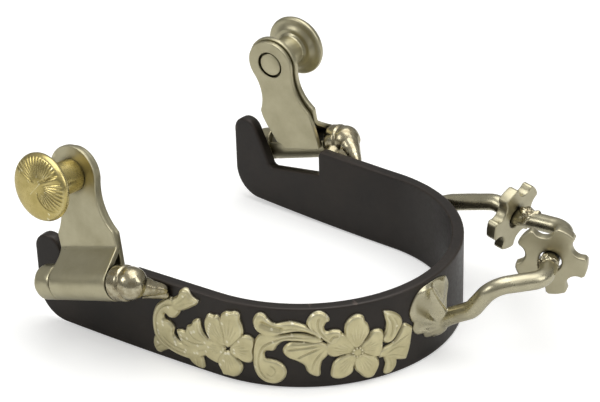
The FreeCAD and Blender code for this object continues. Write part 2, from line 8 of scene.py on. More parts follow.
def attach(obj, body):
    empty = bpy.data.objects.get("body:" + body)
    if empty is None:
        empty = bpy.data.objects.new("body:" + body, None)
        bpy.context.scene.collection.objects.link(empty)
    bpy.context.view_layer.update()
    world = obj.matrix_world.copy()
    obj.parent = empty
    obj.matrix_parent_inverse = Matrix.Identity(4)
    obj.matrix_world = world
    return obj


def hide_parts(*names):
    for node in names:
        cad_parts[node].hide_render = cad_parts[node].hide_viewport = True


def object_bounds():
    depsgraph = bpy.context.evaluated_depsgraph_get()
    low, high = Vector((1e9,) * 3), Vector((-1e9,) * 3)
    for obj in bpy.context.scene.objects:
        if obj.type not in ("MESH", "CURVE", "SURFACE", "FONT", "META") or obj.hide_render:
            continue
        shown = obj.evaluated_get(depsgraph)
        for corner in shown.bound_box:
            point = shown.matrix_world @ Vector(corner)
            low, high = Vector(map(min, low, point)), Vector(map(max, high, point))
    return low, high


# A western riding spur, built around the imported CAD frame.  Shapes are worked out in millimetres
# and written to Blender in metres.  +X points to the shank, +Y to the horse, +Z up.

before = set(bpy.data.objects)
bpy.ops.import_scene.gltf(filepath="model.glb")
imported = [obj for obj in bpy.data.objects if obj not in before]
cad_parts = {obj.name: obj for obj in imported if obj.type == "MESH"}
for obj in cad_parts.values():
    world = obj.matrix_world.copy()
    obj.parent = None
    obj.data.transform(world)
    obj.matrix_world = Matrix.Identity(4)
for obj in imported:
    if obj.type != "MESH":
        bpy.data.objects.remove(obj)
cad_low, cad_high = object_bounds()

MM = 0.001
NEAR = -1
FAR = 1
SIDES = (("near", NEAR), ("far", FAR))
BAND_BODY = "heel_band_body"

# heel band
OUTER_R = 41.7
THICK = 3.2
SPLAY = math.radians(3.15)
HALF_HIGH = 11.4
HEEL_END = OUTER_R * (math.pi / 2 - SPLAY)
RISE_R = 852

# hinge
HINGE = (36.03, 49.7, 7.89)
TILT = math.radians(16.27)
LEAN = math.radians(6)
BARREL_R = 4.7
BARREL_HALF = 10.1
BARREL_AT = {NEAR: 3.6, FAR: 0.3}
SHEET = 1.475
PLY = 3.25
FLARE = math.radians(36.4)
HEAD_AT = 2.6
HEAD_UP = 27.6

# shank and rowels
ROD_R = 2.3
ROD_LEVEL = 12
ROD_BEND = 5.5
ROWEL_R = 9.5
ROWEL_HALF = 1.5

WORLD_STRENGTH = 0.6


# ------------------------------------------------------------------ flat geometry

def arc_points(start, end, bulge, steps=14):
    """Points after start along an arc; bulge is sagitta over half chord, positive to the right."""
    start = np.array(start, float)
    end = np.array(end, float)
    if abs(bulge) < 1e-6:
        return [end]
    chord = end - start
    right = np.array([chord[1], -chord[0]])
    quarter = math.atan(bulge)
    centre = (start + end) / 2 - right * (1 / math.tan(2 * quarter)) / 2
    spoke = start - centre
    points = []
    for index in range(1, steps + 1):
        turn = 4 * quarter * index / steps
        cosine, sine = math.cos(turn), math.sin(turn)
        points.append(centre + np.array([spoke[0] * cosine - spoke[1] * sine,
                                         spoke[0] * sine + spoke[1] * cosine]))
    return points


def outline(start, steps, samples=14):
    """Closed loop from a start and steps of (x, y) or (x, y, bulge)."""
    points = [np.array(start, float)]
    for step in steps:
        bulge = step[2] if len(step) == 3 else 0
        points += arc_points(points[-1], step[:2], bulge, samples)
    if np.linalg.norm(points[-1] - points[0]) < 1e-6:
        points.pop()
    return np.array(points)


def curve(points, closed=True, steps=7):
    """Smooth curve through points.  A point with a third value is a corner."""
    xy = np.array([p[:2] for p in points], float)
    corner = [len(p) > 2 for p in points]
    count = len(xy)
    out = []
    for i in range(count if closed else count - 1):
        a = xy[i]
        b = xy[(i + 1) % count]
        before = xy[i - 1] if closed or i > 0 else a
        after = xy[(i + 2) % count] if closed or i + 2 < count else b
        size = np.linalg.norm(b - a)
        pull_a = (b - a) if corner[i] else (b - before)
        pull_b = (b - a) if corner[(i + 1) % count] else (after - a)
        pull_a = pull_a / max(np.linalg.norm(pull_a), 1e-9) * size
        pull_b = pull_b / max(np.linalg.norm(pull_b), 1e-9) * size
        for k in range(steps):
            t = k / steps
            out.append((2 * t ** 3 - 3 * t ** 2 + 1) * a + (t ** 3 - 2 * t ** 2 + t) * pull_a
                       + (-2 * t ** 3 + 3 * t ** 2) * b + (t ** 3 - t ** 2) * pull_b)
    if not closed:
        out.append(xy[-1])
    return np.array(out)


def nearest_on(points, line, closed):
    """Distance from each point to a polyline, and the nearest place on it."""
    ends = np.roll(line, -1, axis=0) if closed else line[1:]
    starts = line if closed else line[:-1]
    best = np.full(len(points), 1e9)
    place = np.zeros((len(points), 2))
    share = np.zeros(len(points))
    for index, (a, b) in enumerate(zip(starts, ends)):
        ab = b - a
        t = np.clip(((points - a) @ ab) / max(ab @ ab, 1e-12), 0, 1)
        q = a + t[:, None] * ab
        d = np.hypot(points[:, 0] - q[:, 0], points[:, 1] - q[:, 1])
        better = d < best
        best[better] = d[better]
        place[better] = q[better]
        share[better] = (index + t[better]) / len(starts)
    return best, place, share


def is_inside(points, loops):
    """Even-odd test against all loops together, so an inner loop is a hole."""
    odd = np.zeros(len(points), bool)
    x, y = points[:, 0], points[:, 1]
    for loop in loops:
        for a, b in zip(loop, np.roll(loop, -1, axis=0)):
            crosses = (a[1] > y) != (b[1] > y)
            if crosses.any():
                reach = a[0] + (y - a[1]) * (b[0] - a[0]) / (b[1] - a[1] + 1e-30)
                odd ^= crosses & (x < reach)
    return odd


def depth_in(points, loops):
    """Distance to the outline, positive inside, with the nearest place on it."""
    best = np.full(len(points), 1e9)
    place = np.zeros((len(points), 2))
    for loop in loops:
        d, q, _ = nearest_on(points, loop, True)
        better = d < best
        best[better] = d[better]
        place[better] = q[better]
    return np.where(is_inside(points, loops), best, -best), place


def patch(loops, spacing, inset):
    """Triangles over everything at least inset inside the loops, ending exactly on that line."""
    everything = np.vstack(loops)
    low = everything.min(0) - spacing
    high = everything.max(0) + spacing
    nx, ny = (np.ceil((high - low) / spacing).astype(int) + 1)
    gx, gy = np.meshgrid(low[0] + spacing * np.arange(nx), low[1] + spacing * np.arange(ny))
    points = np.stack([gx.ravel(), gy.ravel()], -1)
    level = depth_in(points, loops)[0] - inset
    # grid points close to the line are moved on to it, which leaves no thin slivers
    close = np.abs(level) < 0.3 * spacing
    for _ in range(3):
        d, q = depth_in(points[close], loops)
        way = (points[close] - q) / np.maximum(np.abs(d), 1e-9)[:, None] * np.sign(d)[:, None]
        points[close] += way * (inset - d)[:, None]
    level[close] = 0
    points = list(points)
    level = list(level)
    made = {}

    def crossing(i, j):
        key = (min(i, j), max(i, j))
        if key not in made:
            a, b = points[key[0]], points[key[1]]
            la, lb = level[key[0]], level[key[1]]
            points.append(a + (b - a) * la / (la - lb))
            level.append(0.0)
            made[key] = len(points) - 1
        return made[key]

    triangles = []
    for j in range(ny - 1):
        for i in range(nx - 1):
            corner = j * nx + i
            four = (corner, corner + 1, corner + nx + 1, corner + nx)
            if max(level[k] for k in four) <= 0:
                continue
            flip = (i + j) % 2
            halves = ((0, 1, 2), (0, 2, 3)) if flip else ((0, 1, 3), (1, 2, 3))
            for half in halves:
                tri = [four[k] for k in half]
                kept = [k for k in tri if level[k] >= 0]
                if len(kept) == 3:
                    if max(level[k] for k in tri) > 0:
                        triangles.append(tri)
                    continue
                if not any(level[k] > 0 for k in tri):
                    continue
                ring = []
                for k in range(3):
                    a, b = tri[k], tri[(k + 1) % 3]
                    if level[a] >= 0:
                        ring.append(a)
                    if level[a] * level[b] < 0:
                        ring.append(crossing(a, b))
                for k in range(1, len(ring) - 1):
                    triangles.append([ring[0], ring[k], ring[k + 1]])
    triangles = np.array(triangles)
    used, renumbered = np.unique(triangles, return_inverse=True)
    points = np.array(points)[used]
    triangles = renumbered.reshape(-1, 3)
    depth, place = depth_in(points, loops)
    return points, triangles, depth, place


def rim_edges(triangles):
    """Edges used by one triangle only, in that triangle's direction."""
    edges = np.vstack([triangles[:, [0, 1]], triangles[:, [1, 2]], triangles[:, [2, 0]]])
    keys = np.sort(edges, axis=1)
    _, first, counts = np.unique(keys, axis=0, return_index=True, return_counts=True)
    return edges[first[counts == 1]]


# ------------------------------------------------------------------ meshes

def make_object(name, points, faces, body, material, replaces=()):
    """Blender object from points in millimetres."""
    mesh = bpy.data.meshes.new(name)
    mesh.from_pydata((np.asarray(points, float) * MM).tolist(), [], [list(f) for f in faces])
    mesh.validate()
    mesh.polygons.foreach_set("use_smooth", [True] * len(mesh.polygons))
    thing = bpy.data.objects.new(name, mesh)
    bpy.context.scene.collection.objects.link(thing)
    thing.data.materials.append(material)
    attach(thing, body)
    if replaces:
        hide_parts(*replaces)
    return thing


def plate(loops, thickness, place, spacing, edge, relief=None, rounds=4, wall=1):
    """Sheet with rounded edges.  place(flat points, depth below the face) gives 3-D points.

    relief(flat points, depth inside the outline) raises the face.
    """
    flat, triangles, depth, near = patch(loops, spacing, edge)
    rim = rim_edges(triangles)
    members = np.unique(rim)
    position = {int(v): k for k, v in enumerate(members)}
    lift = relief(flat, depth) if relief is not None else np.zeros(len(flat))
    layers = [place(flat, -lift)]
    steps = []
    for k in range(1, rounds + 1):
        angle = math.pi / 2 * k / rounds
        steps.append((math.sin(angle), edge * (1 - math.cos(angle)), "top"))
    for k in range(1, wall + 1):
        steps.append((1, (thickness - 2 * edge) * k / wall + edge, "wall"))
    for k in range(1, rounds):
        angle = math.pi / 2 * (1 - k / rounds)
        steps.append((math.sin(angle), thickness - edge * (1 - math.cos(angle)), "low"))
    base = flat[members]
    out = near[members] - base
    rise = lift[members]
    for share, down, kind in steps:
        held = 1 if kind == "top" else 0
        if kind == "wall":
            held = 1 - (down - edge) / max(thickness - 2 * edge, 1e-6)
        layers.append(place(base + out * share, down - rise * held))
    layers.append(place(flat, np.full(len(flat), float(thickness))))
    points = np.vstack(layers)
    top = len(flat)
    ring = len(members)
    faces = [tuple(t) for t in triangles]
    under = top + ring * len(steps)
    faces += [(t[0] + under, t[2] + under, t[1] + under) for t in triangles]
    for a, b in rim:
        ka, kb = position[int(a)], position[int(b)]
        column_a = [int(a)] + [top + ring * s + ka for s in range(len(steps))] + [under + int(a)]
        column_b = [int(b)] + [top + ring * s + kb for s in range(len(steps))] + [under + int(b)]
        for s in range(len(column_a) - 1):
            faces.append((column_a[s], column_a[s + 1], column_b[s + 1], column_b[s]))
    return points, faces


def facing_out(points, faces):
    """The same faces, all turned over if the closed mesh is inside out."""
    volume = 0.0
    for face in faces:
        a = points[face[0]]
        for k in range(1, len(face) - 1):
            volume += float(a @ np.cross(points[face[k]], points[face[k + 1]]))
    return faces if volume > 0 else [tuple(reversed(f)) for f in faces]


def lathe(profile, turns, bump=None):
    """Turn (radius, height) points round the Z axis; the first and last lie on the axis."""
    points = [(0, 0, profile[0][1])]
    faces = []
    rings = profile[1:-1]
    for radius, height in rings:
        for k in range(turns):
            angle = 2 * math.pi * k / turns
            lift = bump(radius, angle, height) if bump else 0
            points.append((radius * math.cos(angle), radius * math.sin(angle), height + lift))
    lift = bump(0, 0, profile[-1][1]) if bump else 0
    points.append((0, 0, profile[-1][1] + lift))
    last = len(points) - 1
    for k in range(turns):
        after = (k + 1) % turns
        faces.append((0, 1 + after, 1 + k))
        faces.append((last, last - turns + k, last - turns + after))
        for ring in range(len(rings) - 1):
            low = 1 + ring * turns
            high = low + turns
            faces.append((low + k, low + after, high + after, high + k))
    return np.array(points), faces


def tube(path, radii, sides=40):
    """Round bar along a path with domed ends."""
    path = np.asarray(path, float)
    radii = np.broadcast_to(np.asarray(radii, float), (len(path),))
    way = np.gradient(path, axis=0)
    way /= np.linalg.norm(way, axis=1)[:, None]
    normal = np.cross(way[0], [0.3, 0.2, 1])
    normal /= np.linalg.norm(normal)
    points, faces = [], []
    for k, centre in enumerate(path):
        normal = normal - way[k] * (normal @ way[k])
        normal /= np.linalg.norm(normal)
        other = np.cross(way[k], normal)
        for s in range(sides):
            angle = 2 * math.pi * s / sides
            points.append(centre + radii[k] * (math.cos(angle) * normal + math.sin(angle) * other))
    for k in range(len(path) - 1):
        for s in range(sides):
            t = (s + 1) % sides
            low, high = k * sides, (k + 1) * sides
            faces.append((low + s, low + t, high + t, high + s))
    points.append(path[0] - way[0] * radii[0] * 0.5)
    points.append(path[-1] + way[-1] * radii[-1] * 0.5)
    start, end = len(points) - 2, len(points) - 1
    high = (len(path) - 1) * sides
    for s in range(sides):
        t = (s + 1) % sides
        faces.append((start, t, s))
        faces.append((end, high + s, high + t))
    return np.array(points), faces


def ball(centre, radii, rotation=None, rings=24, sides=36):
    """Ellipsoid with its poles on local Z."""
    profile = [(math.sin(math.pi * k / rings), -math.cos(math.pi * k / rings))
               for k in range(rings + 1)]
    points, faces = lathe(profile, sides)
    points = points * np.array(radii)
    if rotation is not None:
        points = points @ np.array(rotation).T
    return points + np.array(centre), faces


def melt(pieces, voxel, smooth):
    """Join closed pieces into one skin and soften the creases between them."""
    points, faces, offset = [], [], 0
    for piece_points, piece_faces in pieces:
        points.append(piece_points)
        faces += [tuple(int(i) + offset for i in f) for f in piece_faces]
        offset += len(piece_points)
    mesh = bpy.data.meshes.new("melting")
    mesh.from_pydata(np.vstack(points).tolist(), [], faces)
    thing = bpy.data.objects.new("melting", mesh)
    bpy.context.scene.collection.objects.link(thing)
    remesh = thing.modifiers.new("skin", "REMESH")
    remesh.mode = "VOXEL"
    remesh.voxel_size = voxel
    if smooth:
        soften = thing.modifiers.new("soften", "SMOOTH")
        soften.factor = 0.5
        soften.iterations = smooth
    graph = bpy.context.evaluated_depsgraph_get()
    result = bpy.data.meshes.new_from_object(thing.evaluated_get(graph))
    out = np.zeros(len(result.vertices) * 3)
    result.vertices.foreach_get("co", out)
    normals = np.zeros(len(result.vertices) * 3)
    result.vertices.foreach_get("normal", normals)
    polygons = [tuple(p.vertices) for p in result.polygons]
    bpy.data.objects.remove(thing)
    bpy.data.meshes.remove(result)
    return out.reshape(-1, 3), polygons, normals.reshape(-1, 3)


def dent(points, normals, layers, where=None):
    """Push points along their normals by layers of noise (size in mm, height in mm)."""
    moved = points.copy()
    for index, (size, height) in enumerate(layers):
        shift = Vector((11.3 * index, 4.7, 8.1))
        amount = np.array([noise.noise(Vector(p) / size + shift) for p in points])
        if where is not None:
            amount = amount * where
        moved += normals * (amount * height)[:, None]
    return moved


# ------------------------------------------------------------------ places on the spur

def on_band(flat, below):
    """Band surface: flat x is the distance round from the back (near side positive), y is up."""
    along = np.abs(flat[:, 0])
    side = np.where(flat[:, 0] >= 0, -1.0, 1.0)
    angle = np.minimum(along, HEEL_END) / OUTER_R
    run = np.maximum(along - HEEL_END, 0)
    radius = OUTER_R - below
    x = radius * np.cos(angle) - run * math.cos(SPLAY)
    y = side * (radius * np.sin(angle) + run * math.sin(SPLAY))
    return np.stack([x, y, flat[:, 1]], -1)


def arm_along(x):
    """Distance round the band of a place x on the straight arm."""
    return HEEL_END + (OUTER_R * math.sin(SPLAY) - x) / math.cos(SPLAY)


def from_hinge(side, points, lean=0.0):
    """Hinge coordinates (along the pin, inwards, up the tab) to the row frame."""
    u, inward, up = np.asarray(points, float).T
    y = -side * inward
    swing = side * lean
    y, t = y * math.cos(swing) - up * math.sin(swing), y * math.sin(swing) + up * math.cos(swing)
    x = u * math.cos(TILT) - t * math.sin(TILT)
    z = u * math.sin(TILT) + t * math.cos(TILT)
    return np.stack([x - HINGE[0], y + side * HINGE[1], z + HINGE[2]], -1)


# ------------------------------------------------------------------ materials

class Paint:
    """Small helper that builds one node material."""

    def __init__(self, name):
        self.material = bpy.data.materials.new(name)
        self.material.use_nodes = True
        self.tree = self.material.node_tree
        self.shader = self.tree.nodes["Principled BSDF"]
        self.place = self.add("ShaderNodeTexCoord").outputs["Object"]

    def add(self, kind, **settings):
        node = self.tree.nodes.new(kind)
        for key, value in settings.items():
            setattr(node, key, value)
        return node

    def link(self, source, target):
        self.tree.links.new(source, target)

    def noise(self, scale, detail=3.0, stretch=(1, 1, 1), rough=0.55):
        mapping = self.add("ShaderNodeMapping")
        mapping.inputs["Scale"].default_value = stretch
        self.link(self.place, mapping.inputs["Vector"])
        node = self.add("ShaderNodeTexNoise")
        node.inputs["Scale"].default_value = scale
        node.inputs["Detail"].default_value = detail
        node.inputs["Roughness"].default_value = rough
        self.link(mapping.outputs["Vector"], node.inputs["Vector"])
        return node.outputs["Fac"]

    def remap(self, source, low, high, out_low, out_high):
        node = self.add("ShaderNodeMapRange")
        self.link(source, node.inputs["Value"])
        for key, value in (("From Min", low), ("From Max", high), ("To Min", out_low),
                           ("To Max", out_high)):
            node.inputs[key].default_value = value
        return node.outputs["Result"]

    def mix(self, share, first, second, mode="MIX"):
        node = self.add("ShaderNodeMix", data_type="RGBA", blend_type=mode)
        if isinstance(share, float):
            node.inputs[0].default_value = share
        else:
            self.link(share, node.inputs[0])
        for socket, colour in ((node.inputs[6], first), (node.inputs[7], second)):
            if isinstance(colour, tuple):
                socket.default_value = (*colour, 1)
            else:
                self.link(colour, socket)
        return node.outputs[2]

    def maths(self, operation, first, second):
        node = self.add("ShaderNodeMath", operation=operation)
        for socket, source in ((node.inputs[0], first), (node.inputs[1], second)):
            if isinstance(source, (int, float)):
                socket.default_value = source
            else:
                self.link(source, socket)
        return node.outputs[0]

    def edges(self, low=0.5, high=0.62):
        """1 on outward edges, 0 on flats."""
        return self.remap(self.add("ShaderNodeNewGeometry").outputs["Pointiness"], low, high, 0, 1)

    def hollows(self, reach):
        """1 in the open, towards 0 in corners and crevices."""
        node = self.add("ShaderNodeAmbientOcclusion", samples=8)
        node.inputs["Distance"].default_value = reach * MM
        return node.outputs["AO"]

    def bump(self, layers):
        """Layers of (height source, strength, distance in mm)."""
        before = None
        for source, strength, distance in layers:
            node = self.add("ShaderNodeBump")
            node.inputs["Strength"].default_value = strength
            node.inputs["Distance"].default_value = distance * MM
            self.link(source, node.inputs["Height"])
            if before is not None:
                self.link(before, node.inputs["Normal"])
            before = node.outputs["Normal"]
        self.link(before, self.shader.inputs["Normal"])

    def set(self, **inputs):
        for key, value in inputs.items():
            socket = self.shader.inputs[key.replace("_", " ")]
            if hasattr(value, "is_output"):
                self.link(value, socket)
            elif isinstance(value, tuple):
                socket.default_value = (*value, 1)
            else:
                socket.default_value = value


def nickel_material(name, base, dark, rough, blotch=0.5, grain=(1, 1, 1)):
    """Nickel: fine grain and cloudy patches, with painted shade in the corners and a painted highlight on
    the edges.
    """
    paint = Paint(name)
    cloud = paint.remap(paint.noise(170, 4), 0.35, 0.68, 0, 1)
    fine = paint.noise(2400, 2, grain)
    colour = paint.mix(paint.maths("MULTIPLY", cloud, blotch), base, dark)
    # painted shade: ambient occlusion darkens the colour towards a deep tone in corners and crevices
    shade = paint.remap(paint.hollows(1.6), 0.35, 0.95, 0, 1)
    colour = paint.mix(shade, tuple(0.35 * c for c in dark), colour)
    # painted highlight: outward edges lifted to a brighter nickel tone
    colour = paint.mix(paint.edges(0.52, 0.62), colour, tuple(min(1, 1.25 * c) for c in base))
    roughness = paint.maths("ADD", paint.remap(cloud, 0, 1, rough, rough + 0.1),
                            paint.remap(fine, 0.3, 0.7, -0.03, 0.05))
    paint.set(Base_Color=colour, Metallic=1.0, Roughness=roughness)
    paint.bump([(paint.noise(420, 3), 0.12, 0.25), (fine, 0.1, 0.04)])
    return paint.material


def cast_material():
    """Braze and cast ends: the same nickel with a lumpy, sharply glinting skin and painted shade in its
    crevices.
    """
    paint = Paint("cast_nickel")
    lumps = paint.noise(620, 4, (1, 1, 1), 0.6)
    cloud = paint.remap(lumps, 0.36, 0.66, 0, 1)
    colour = paint.mix(cloud, (0.36, 0.31, 0.20), (0.60, 0.555, 0.40))
    # painted shade: ambient occlusion darkens the colour to near black in corners and crevices
    shade = paint.remap(paint.hollows(1.2), 0.3, 0.95, 0, 1)
    colour = paint.mix(shade, (0.07, 0.055, 0.04), colour)
    paint.set(Base_Color=colour, Metallic=1.0, Roughness=paint.remap(lumps, 0.3, 0.7, 0.32, 0.14))
    paint.bump([(lumps, 0.22, 0.3)])
    return paint.material


def browned_material():
    """Browned steel: nearly black, satin, a lighter brown along the edges."""
    paint = Paint("browned_steel")
    cloud = paint.remap(paint.noise(60, 5, (1, 1, 1), 0.6), 0.36, 0.66, 0, 1)
    speck = paint.noise(900, 3)
    colour = paint.mix(cloud, (0.017, 0.0135, 0.011), (0.029, 0.0225, 0.018))
    # lighter brown mixed in on outward edges
    colour = paint.mix(paint.maths("MULTIPLY", paint.edges(0.51, 0.60), 0.7), colour,
                       (0.11, 0.085, 0.07))
    roughness = paint.maths("ADD", paint.remap(cloud, 0, 1, 0.34, 0.44),
                            paint.remap(speck, 0.3, 0.7, -0.04, 0.06))
    paint.set(Base_Color=colour, Metallic=0.35, Roughness=roughness, Specular_IOR_Level=0.5)
    paint.bump([(paint.noise(130, 4), 0.10, 0.5), (speck, 0.16, 0.05)])
    return paint.material


def overlay_material():
    """Pale nickel silver, satin on top, with painted grey-brown shade down in the engraving and a painted
    highlight on the edges.
    """
    paint = Paint("overlay_silver")
    cloud = paint.remap(paint.noise(260, 4), 0.34, 0.68, 0, 1)
    fine = paint.noise(2600, 2)
    colour = paint.mix(cloud, (0.73, 0.665, 0.405), (0.61, 0.55, 0.325))
    # painted shade: ambient occlusion darkens the colour to grey-brown in the engraving and corners
    shade = paint.remap(paint.hollows(0.9), 0.45, 0.95, 0, 1)
    colour = paint.mix(shade, (0.22, 0.185, 0.105), colour)
    # painted highlight: outward edges lifted to a pale bright tone
    colour = paint.mix(paint.edges(0.51, 0.58), colour, (0.88, 0.83, 0.64))
    roughness = paint.maths("ADD", paint.remap(cloud, 0, 1, 0.38, 0.48),
                            paint.remap(fine, 0.3, 0.7, -0.04, 0.05))
    paint.set(Base_Color=colour, Metallic=0.9, Roughness=roughness)
    paint.bump([(paint.noise(700, 3), 0.15, 0.12), (fine, 0.12, 0.03)])
    return paint.material


def brass_material():
    paint = Paint("brass")
    cloud = paint.remap(paint.noise(300, 4), 0.34, 0.68, 0, 1)
    fine = paint.noise(2200, 2)
    colour = paint.mix(cloud, (0.66, 0.545, 0.225), (0.53, 0.43, 0.155))
    # painted shade: ambient occlusion darkens the colour towards dark brown in corners and crevices
    shade = paint.remap(paint.hollows(0.8), 0.4, 0.95, 0, 1)
    colour = paint.mix(shade, (0.16, 0.115, 0.03), colour)
    # painted highlight: outward edges lifted to a pale bright brass tone
    colour = paint.mix(paint.edges(0.51, 0.58), colour, (0.86, 0.78, 0.46))
    roughness = paint.maths("ADD", paint.remap(cloud, 0, 1, 0.24, 0.32),
                            paint.remap(fine, 0.3, 0.7, -0.03, 0.04))
    paint.set(Base_Color=colour, Metallic=1.0, Roughness=roughness)
    paint.bump([(paint.noise(900, 3), 0.12, 0.08), (fine, 0.08, 0.03)])
    return paint.material


NICKEL = nickel_material("nickel", (0.545, 0.505, 0.345), (0.41, 0.37, 0.235), 0.30)
ROD_NICKEL = nickel_material("rod_nickel", (0.56, 0.52, 0.37), (0.42, 0.38, 0.26), 0.24)
ROWEL_STEEL = nickel_material("rowel_steel", (0.52, 0.48, 0.335), (0.42, 0.38, 0.255), 0.33)
PIN_STEEL = nickel_material("pin_steel", (0.5, 0.48, 0.42), (0.3, 0.28, 0.24), 0.3)
CAST = cast_material()
BROWNED = browned_material()
OVERLAY = overlay_material()
BRASS = brass_material()


# ------------------------------------------------------------------ heel band

def band_outline():
    """Side view of one arm and its half of the heel, top edge first, then mirrored."""
    slot_top = HALF_HIGH + 24.15 ** 2 / (2 * RISE_R)
    steps = [(-24.15, slot_top), (-24.15, 4.1), (-40.95, 1.5), (-42.95, 2.9, -0.45),
             (-47.285, 11.785), (-55.45, 9.9, 0.93), (-55.45, -1.3), (-46.5, -10.2, 0.42),
             (0, -HALF_HIGH, 0.012)]
    side_view = outline((0, HALF_HIGH), steps, 20)
    heel = HEEL_END + 2
    near = [(0, HALF_HIGH), (heel, HALF_HIGH)]
    near += [(arm_along(x), z) for x, z in side_view[1:]]
    near += [(heel, -HALF_HIGH), (0, -HALF_HIGH)]
    far = [(-a, z) for a, z in near[-2:0:-1]]
    return np.array(near + far)


def build_band():
    points, faces = plate([band_outline()], THICK, on_band, 0.75, 0.55, rounds=4, wall=2)
    make_object("heel_band_skin", points, facing_out(points, faces), BAND_BODY, BROWNED,
                ["heel_band"])


# ------------------------------------------------------------------ hinges

def hinge_ball(side, u, inward, up, radii):
    """Ellipsoid with its long axes given along the pin, inwards and up."""
    points, faces = ball((0, 0, 0), (radii[0], radii[1], radii[2]))
    return from_hinge(side, points + np.array([u, inward, up])), faces


def hinge_bar(side, stations):
    """Bar through stations of (along, inward, up, radius)."""
    stations = np.array(stations, float)
    path = from_hinge(side, stations[:, :3])
    return tube(path, stations[:, 3])


def arm_inward(u):
    """How far inwards of the pin the arm's outer face lies, at a place along the pin."""
    x = u * math.cos(TILT) - HINGE[0]
    return HINGE[1] - OUTER_R / math.cos(SPLAY) + x * math.tan(SPLAY)


def knuckle_foot(side, u, radius):
    """Braze under a knuckle, from the pin to just inside the arm's outer face."""
    face = arm_inward(u)
    return hinge_bar(side, [(u, 1.5, -0.4, radius), (u, face - 0.8, -0.6, radius),
                            (u, face + 0.5, -0.6, radius + 0.3)])


def build_front_knuckle(side_name, side):
    """Closed knuckle at the toe end: a rounded cap on a foot brazed to the arm."""
    edge = BARREL_AT[side] - BARREL_HALF - RING_GAP
    profile = [(0, edge - 6.6)]
    for k in range(1, 12):
        angle = math.pi / 2 * k / 11
        profile.append((BARREL_R * math.sin(angle) ** 0.62, edge - 4.5 - 2.1 * math.cos(angle)))
    profile += [(BARREL_R, edge - 0.6), (BARREL_R - 0.15, edge - 0.15), (BARREL_R - 0.6, edge),
                (0, edge)]
    points, faces = lathe(profile, 64)
    turned = from_hinge(side, points[:, [2, 0, 1]])
    pieces = [(turned, faces), knuckle_foot(side, edge - 3.6, 3.1), knuckle_foot(side, edge - 2.2, 3.0)]
    skin, polygons, normals = melt(pieces, 0.16, 3)
    skin = dent(skin, normals, [(3.0, 0.10), (1.1, 0.03)])
    make_object(side_name + "_front_knuckle_skin", skin, polygons, BAND_BODY, NICKEL,
                [side_name + "_front_knuckle"])


def build_rear_knuckle(side_name, side):
    """Ring and ball end at the back of the barrel, with a tail that tapers down on to the arm."""
    edge = BARREL_AT[side] + BARREL_HALF + RING_GAP
    ring_end = edge + 3.9
    profile = [(0, edge), (BARREL_R - 0.6, edge), (BARREL_R - 0.15, edge + 0.15),
               (BARREL_R, edge + 0.6), (BARREL_R, ring_end - 0.7), (BARREL_R - 0.2, ring_end - 0.3),
               (BARREL_R - 0.75, ring_end), (0, ring_end + 0.1)]
    points, faces = lathe(profile, 64)
    turned = from_hinge(side, points[:, [2, 0, 1]])
    tail_tip = np.array([-12.6, side * 42.9, 9.7])
    ball_u = edge + 4.75
    ball_centre = from_hinge(side, [(ball_u, 0, 0)])[0]
    shares = np.array([0, 0.3, 0.5, 0.7, 0.88, 1.0])
    path = ball_centre + (tail_tip - ball_centre) * shares[:, None]
    path[:, 1] += side * 0.5 * np.sin(math.pi * shares)
    fillet_path = np.array([from_hinge(side, [(ball_u + 0.5, 3.2, -3.2)])[0],
                            tail_tip + np.array([0.5, 0, -1.4])])
    pieces = [(turned, faces), hinge_ball(side, ball_u, 0, 0, (4.2, 4.3, 4.3)),
              tube(path, [3.9, 3.0, 2.35, 1.85, 1.5, 1.15]), tube(fillet_path, [2.4, 0.9]),
              hinge_bar(side, [(edge + 2.2, 1.0, -1.0, 2.9), (edge + 2.2, 5.4, -2.8, 2.6)])]
    skin, polygons, normals = melt(pieces, 0.16, 2)
    pin = from_hinge(side, [(1, 0, 0)])[0] - from_hinge(side, [(0, 0, 0)])[0]
    along = (skin - ball_centre) @ pin
    rough = 0.25 + 0.75 * np.clip((along - 1) / 2.5, 0, 1)
    skin = dent(skin, normals, [(2.6, 0.1), (1.0, 0.03)], rough)
    make_object(side_name + "_rear_knuckle_skin", skin, polygons, BAND_BODY, CAST,
                [side_name + "_rear_knuckle"])


def dress_pin(side_name):
    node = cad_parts[side_name + "_hinge_pin"]
    node.data.materials.clear()
    node.data.materials.append(PIN_STEEL)


# ------------------------------------------------------------------ tabs

TAB_HIGH = 36.5
HEAD_OUTER_R = 7.9
HEAD_INNER_R = 7.3
RING_GAP = 0.15
RIDGE_TURN = 13


def outer_section():
    """Outer face of the outer plate from its top down, round the bend, flare and curl."""
    reach = (PLY + BARREL_R * math.sin(FLARE)) / math.cos(FLARE)
    bend_up = BARREL_R * math.cos(FLARE) + reach * math.sin(FLARE)
    turn = math.pi / 2 - FLARE
    fillet = 0.8
    cut = fillet * math.tan(turn / 2)
    places = [(PLY, TAB_HIGH), (PLY, bend_up + cut)]
    centre = (PLY - fillet, bend_up + cut)
    for k in range(1, 9):
        angle = turn * k / 8
        places.append((centre[0] + fillet * math.cos(angle), centre[1] - fillet * math.sin(angle)))
    places.append((-BARREL_R * math.sin(FLARE), BARREL_R * math.cos(FLARE)))
    sweep = 2 * math.pi - math.radians(62) - FLARE
    for k in range(1, 73):
        angle = FLARE + sweep * k / 72
        places.append((-BARREL_R * math.sin(angle), BARREL_R * math.cos(angle)))
    return np.array(places), bend_up


SECTION, BEND_UP = outer_section()
SECTION_LONG = np.concatenate([[0], np.cumsum(np.linalg.norm(np.diff(SECTION, axis=0), axis=1))])
FLAT_LONG = TAB_HIGH - BEND_UP


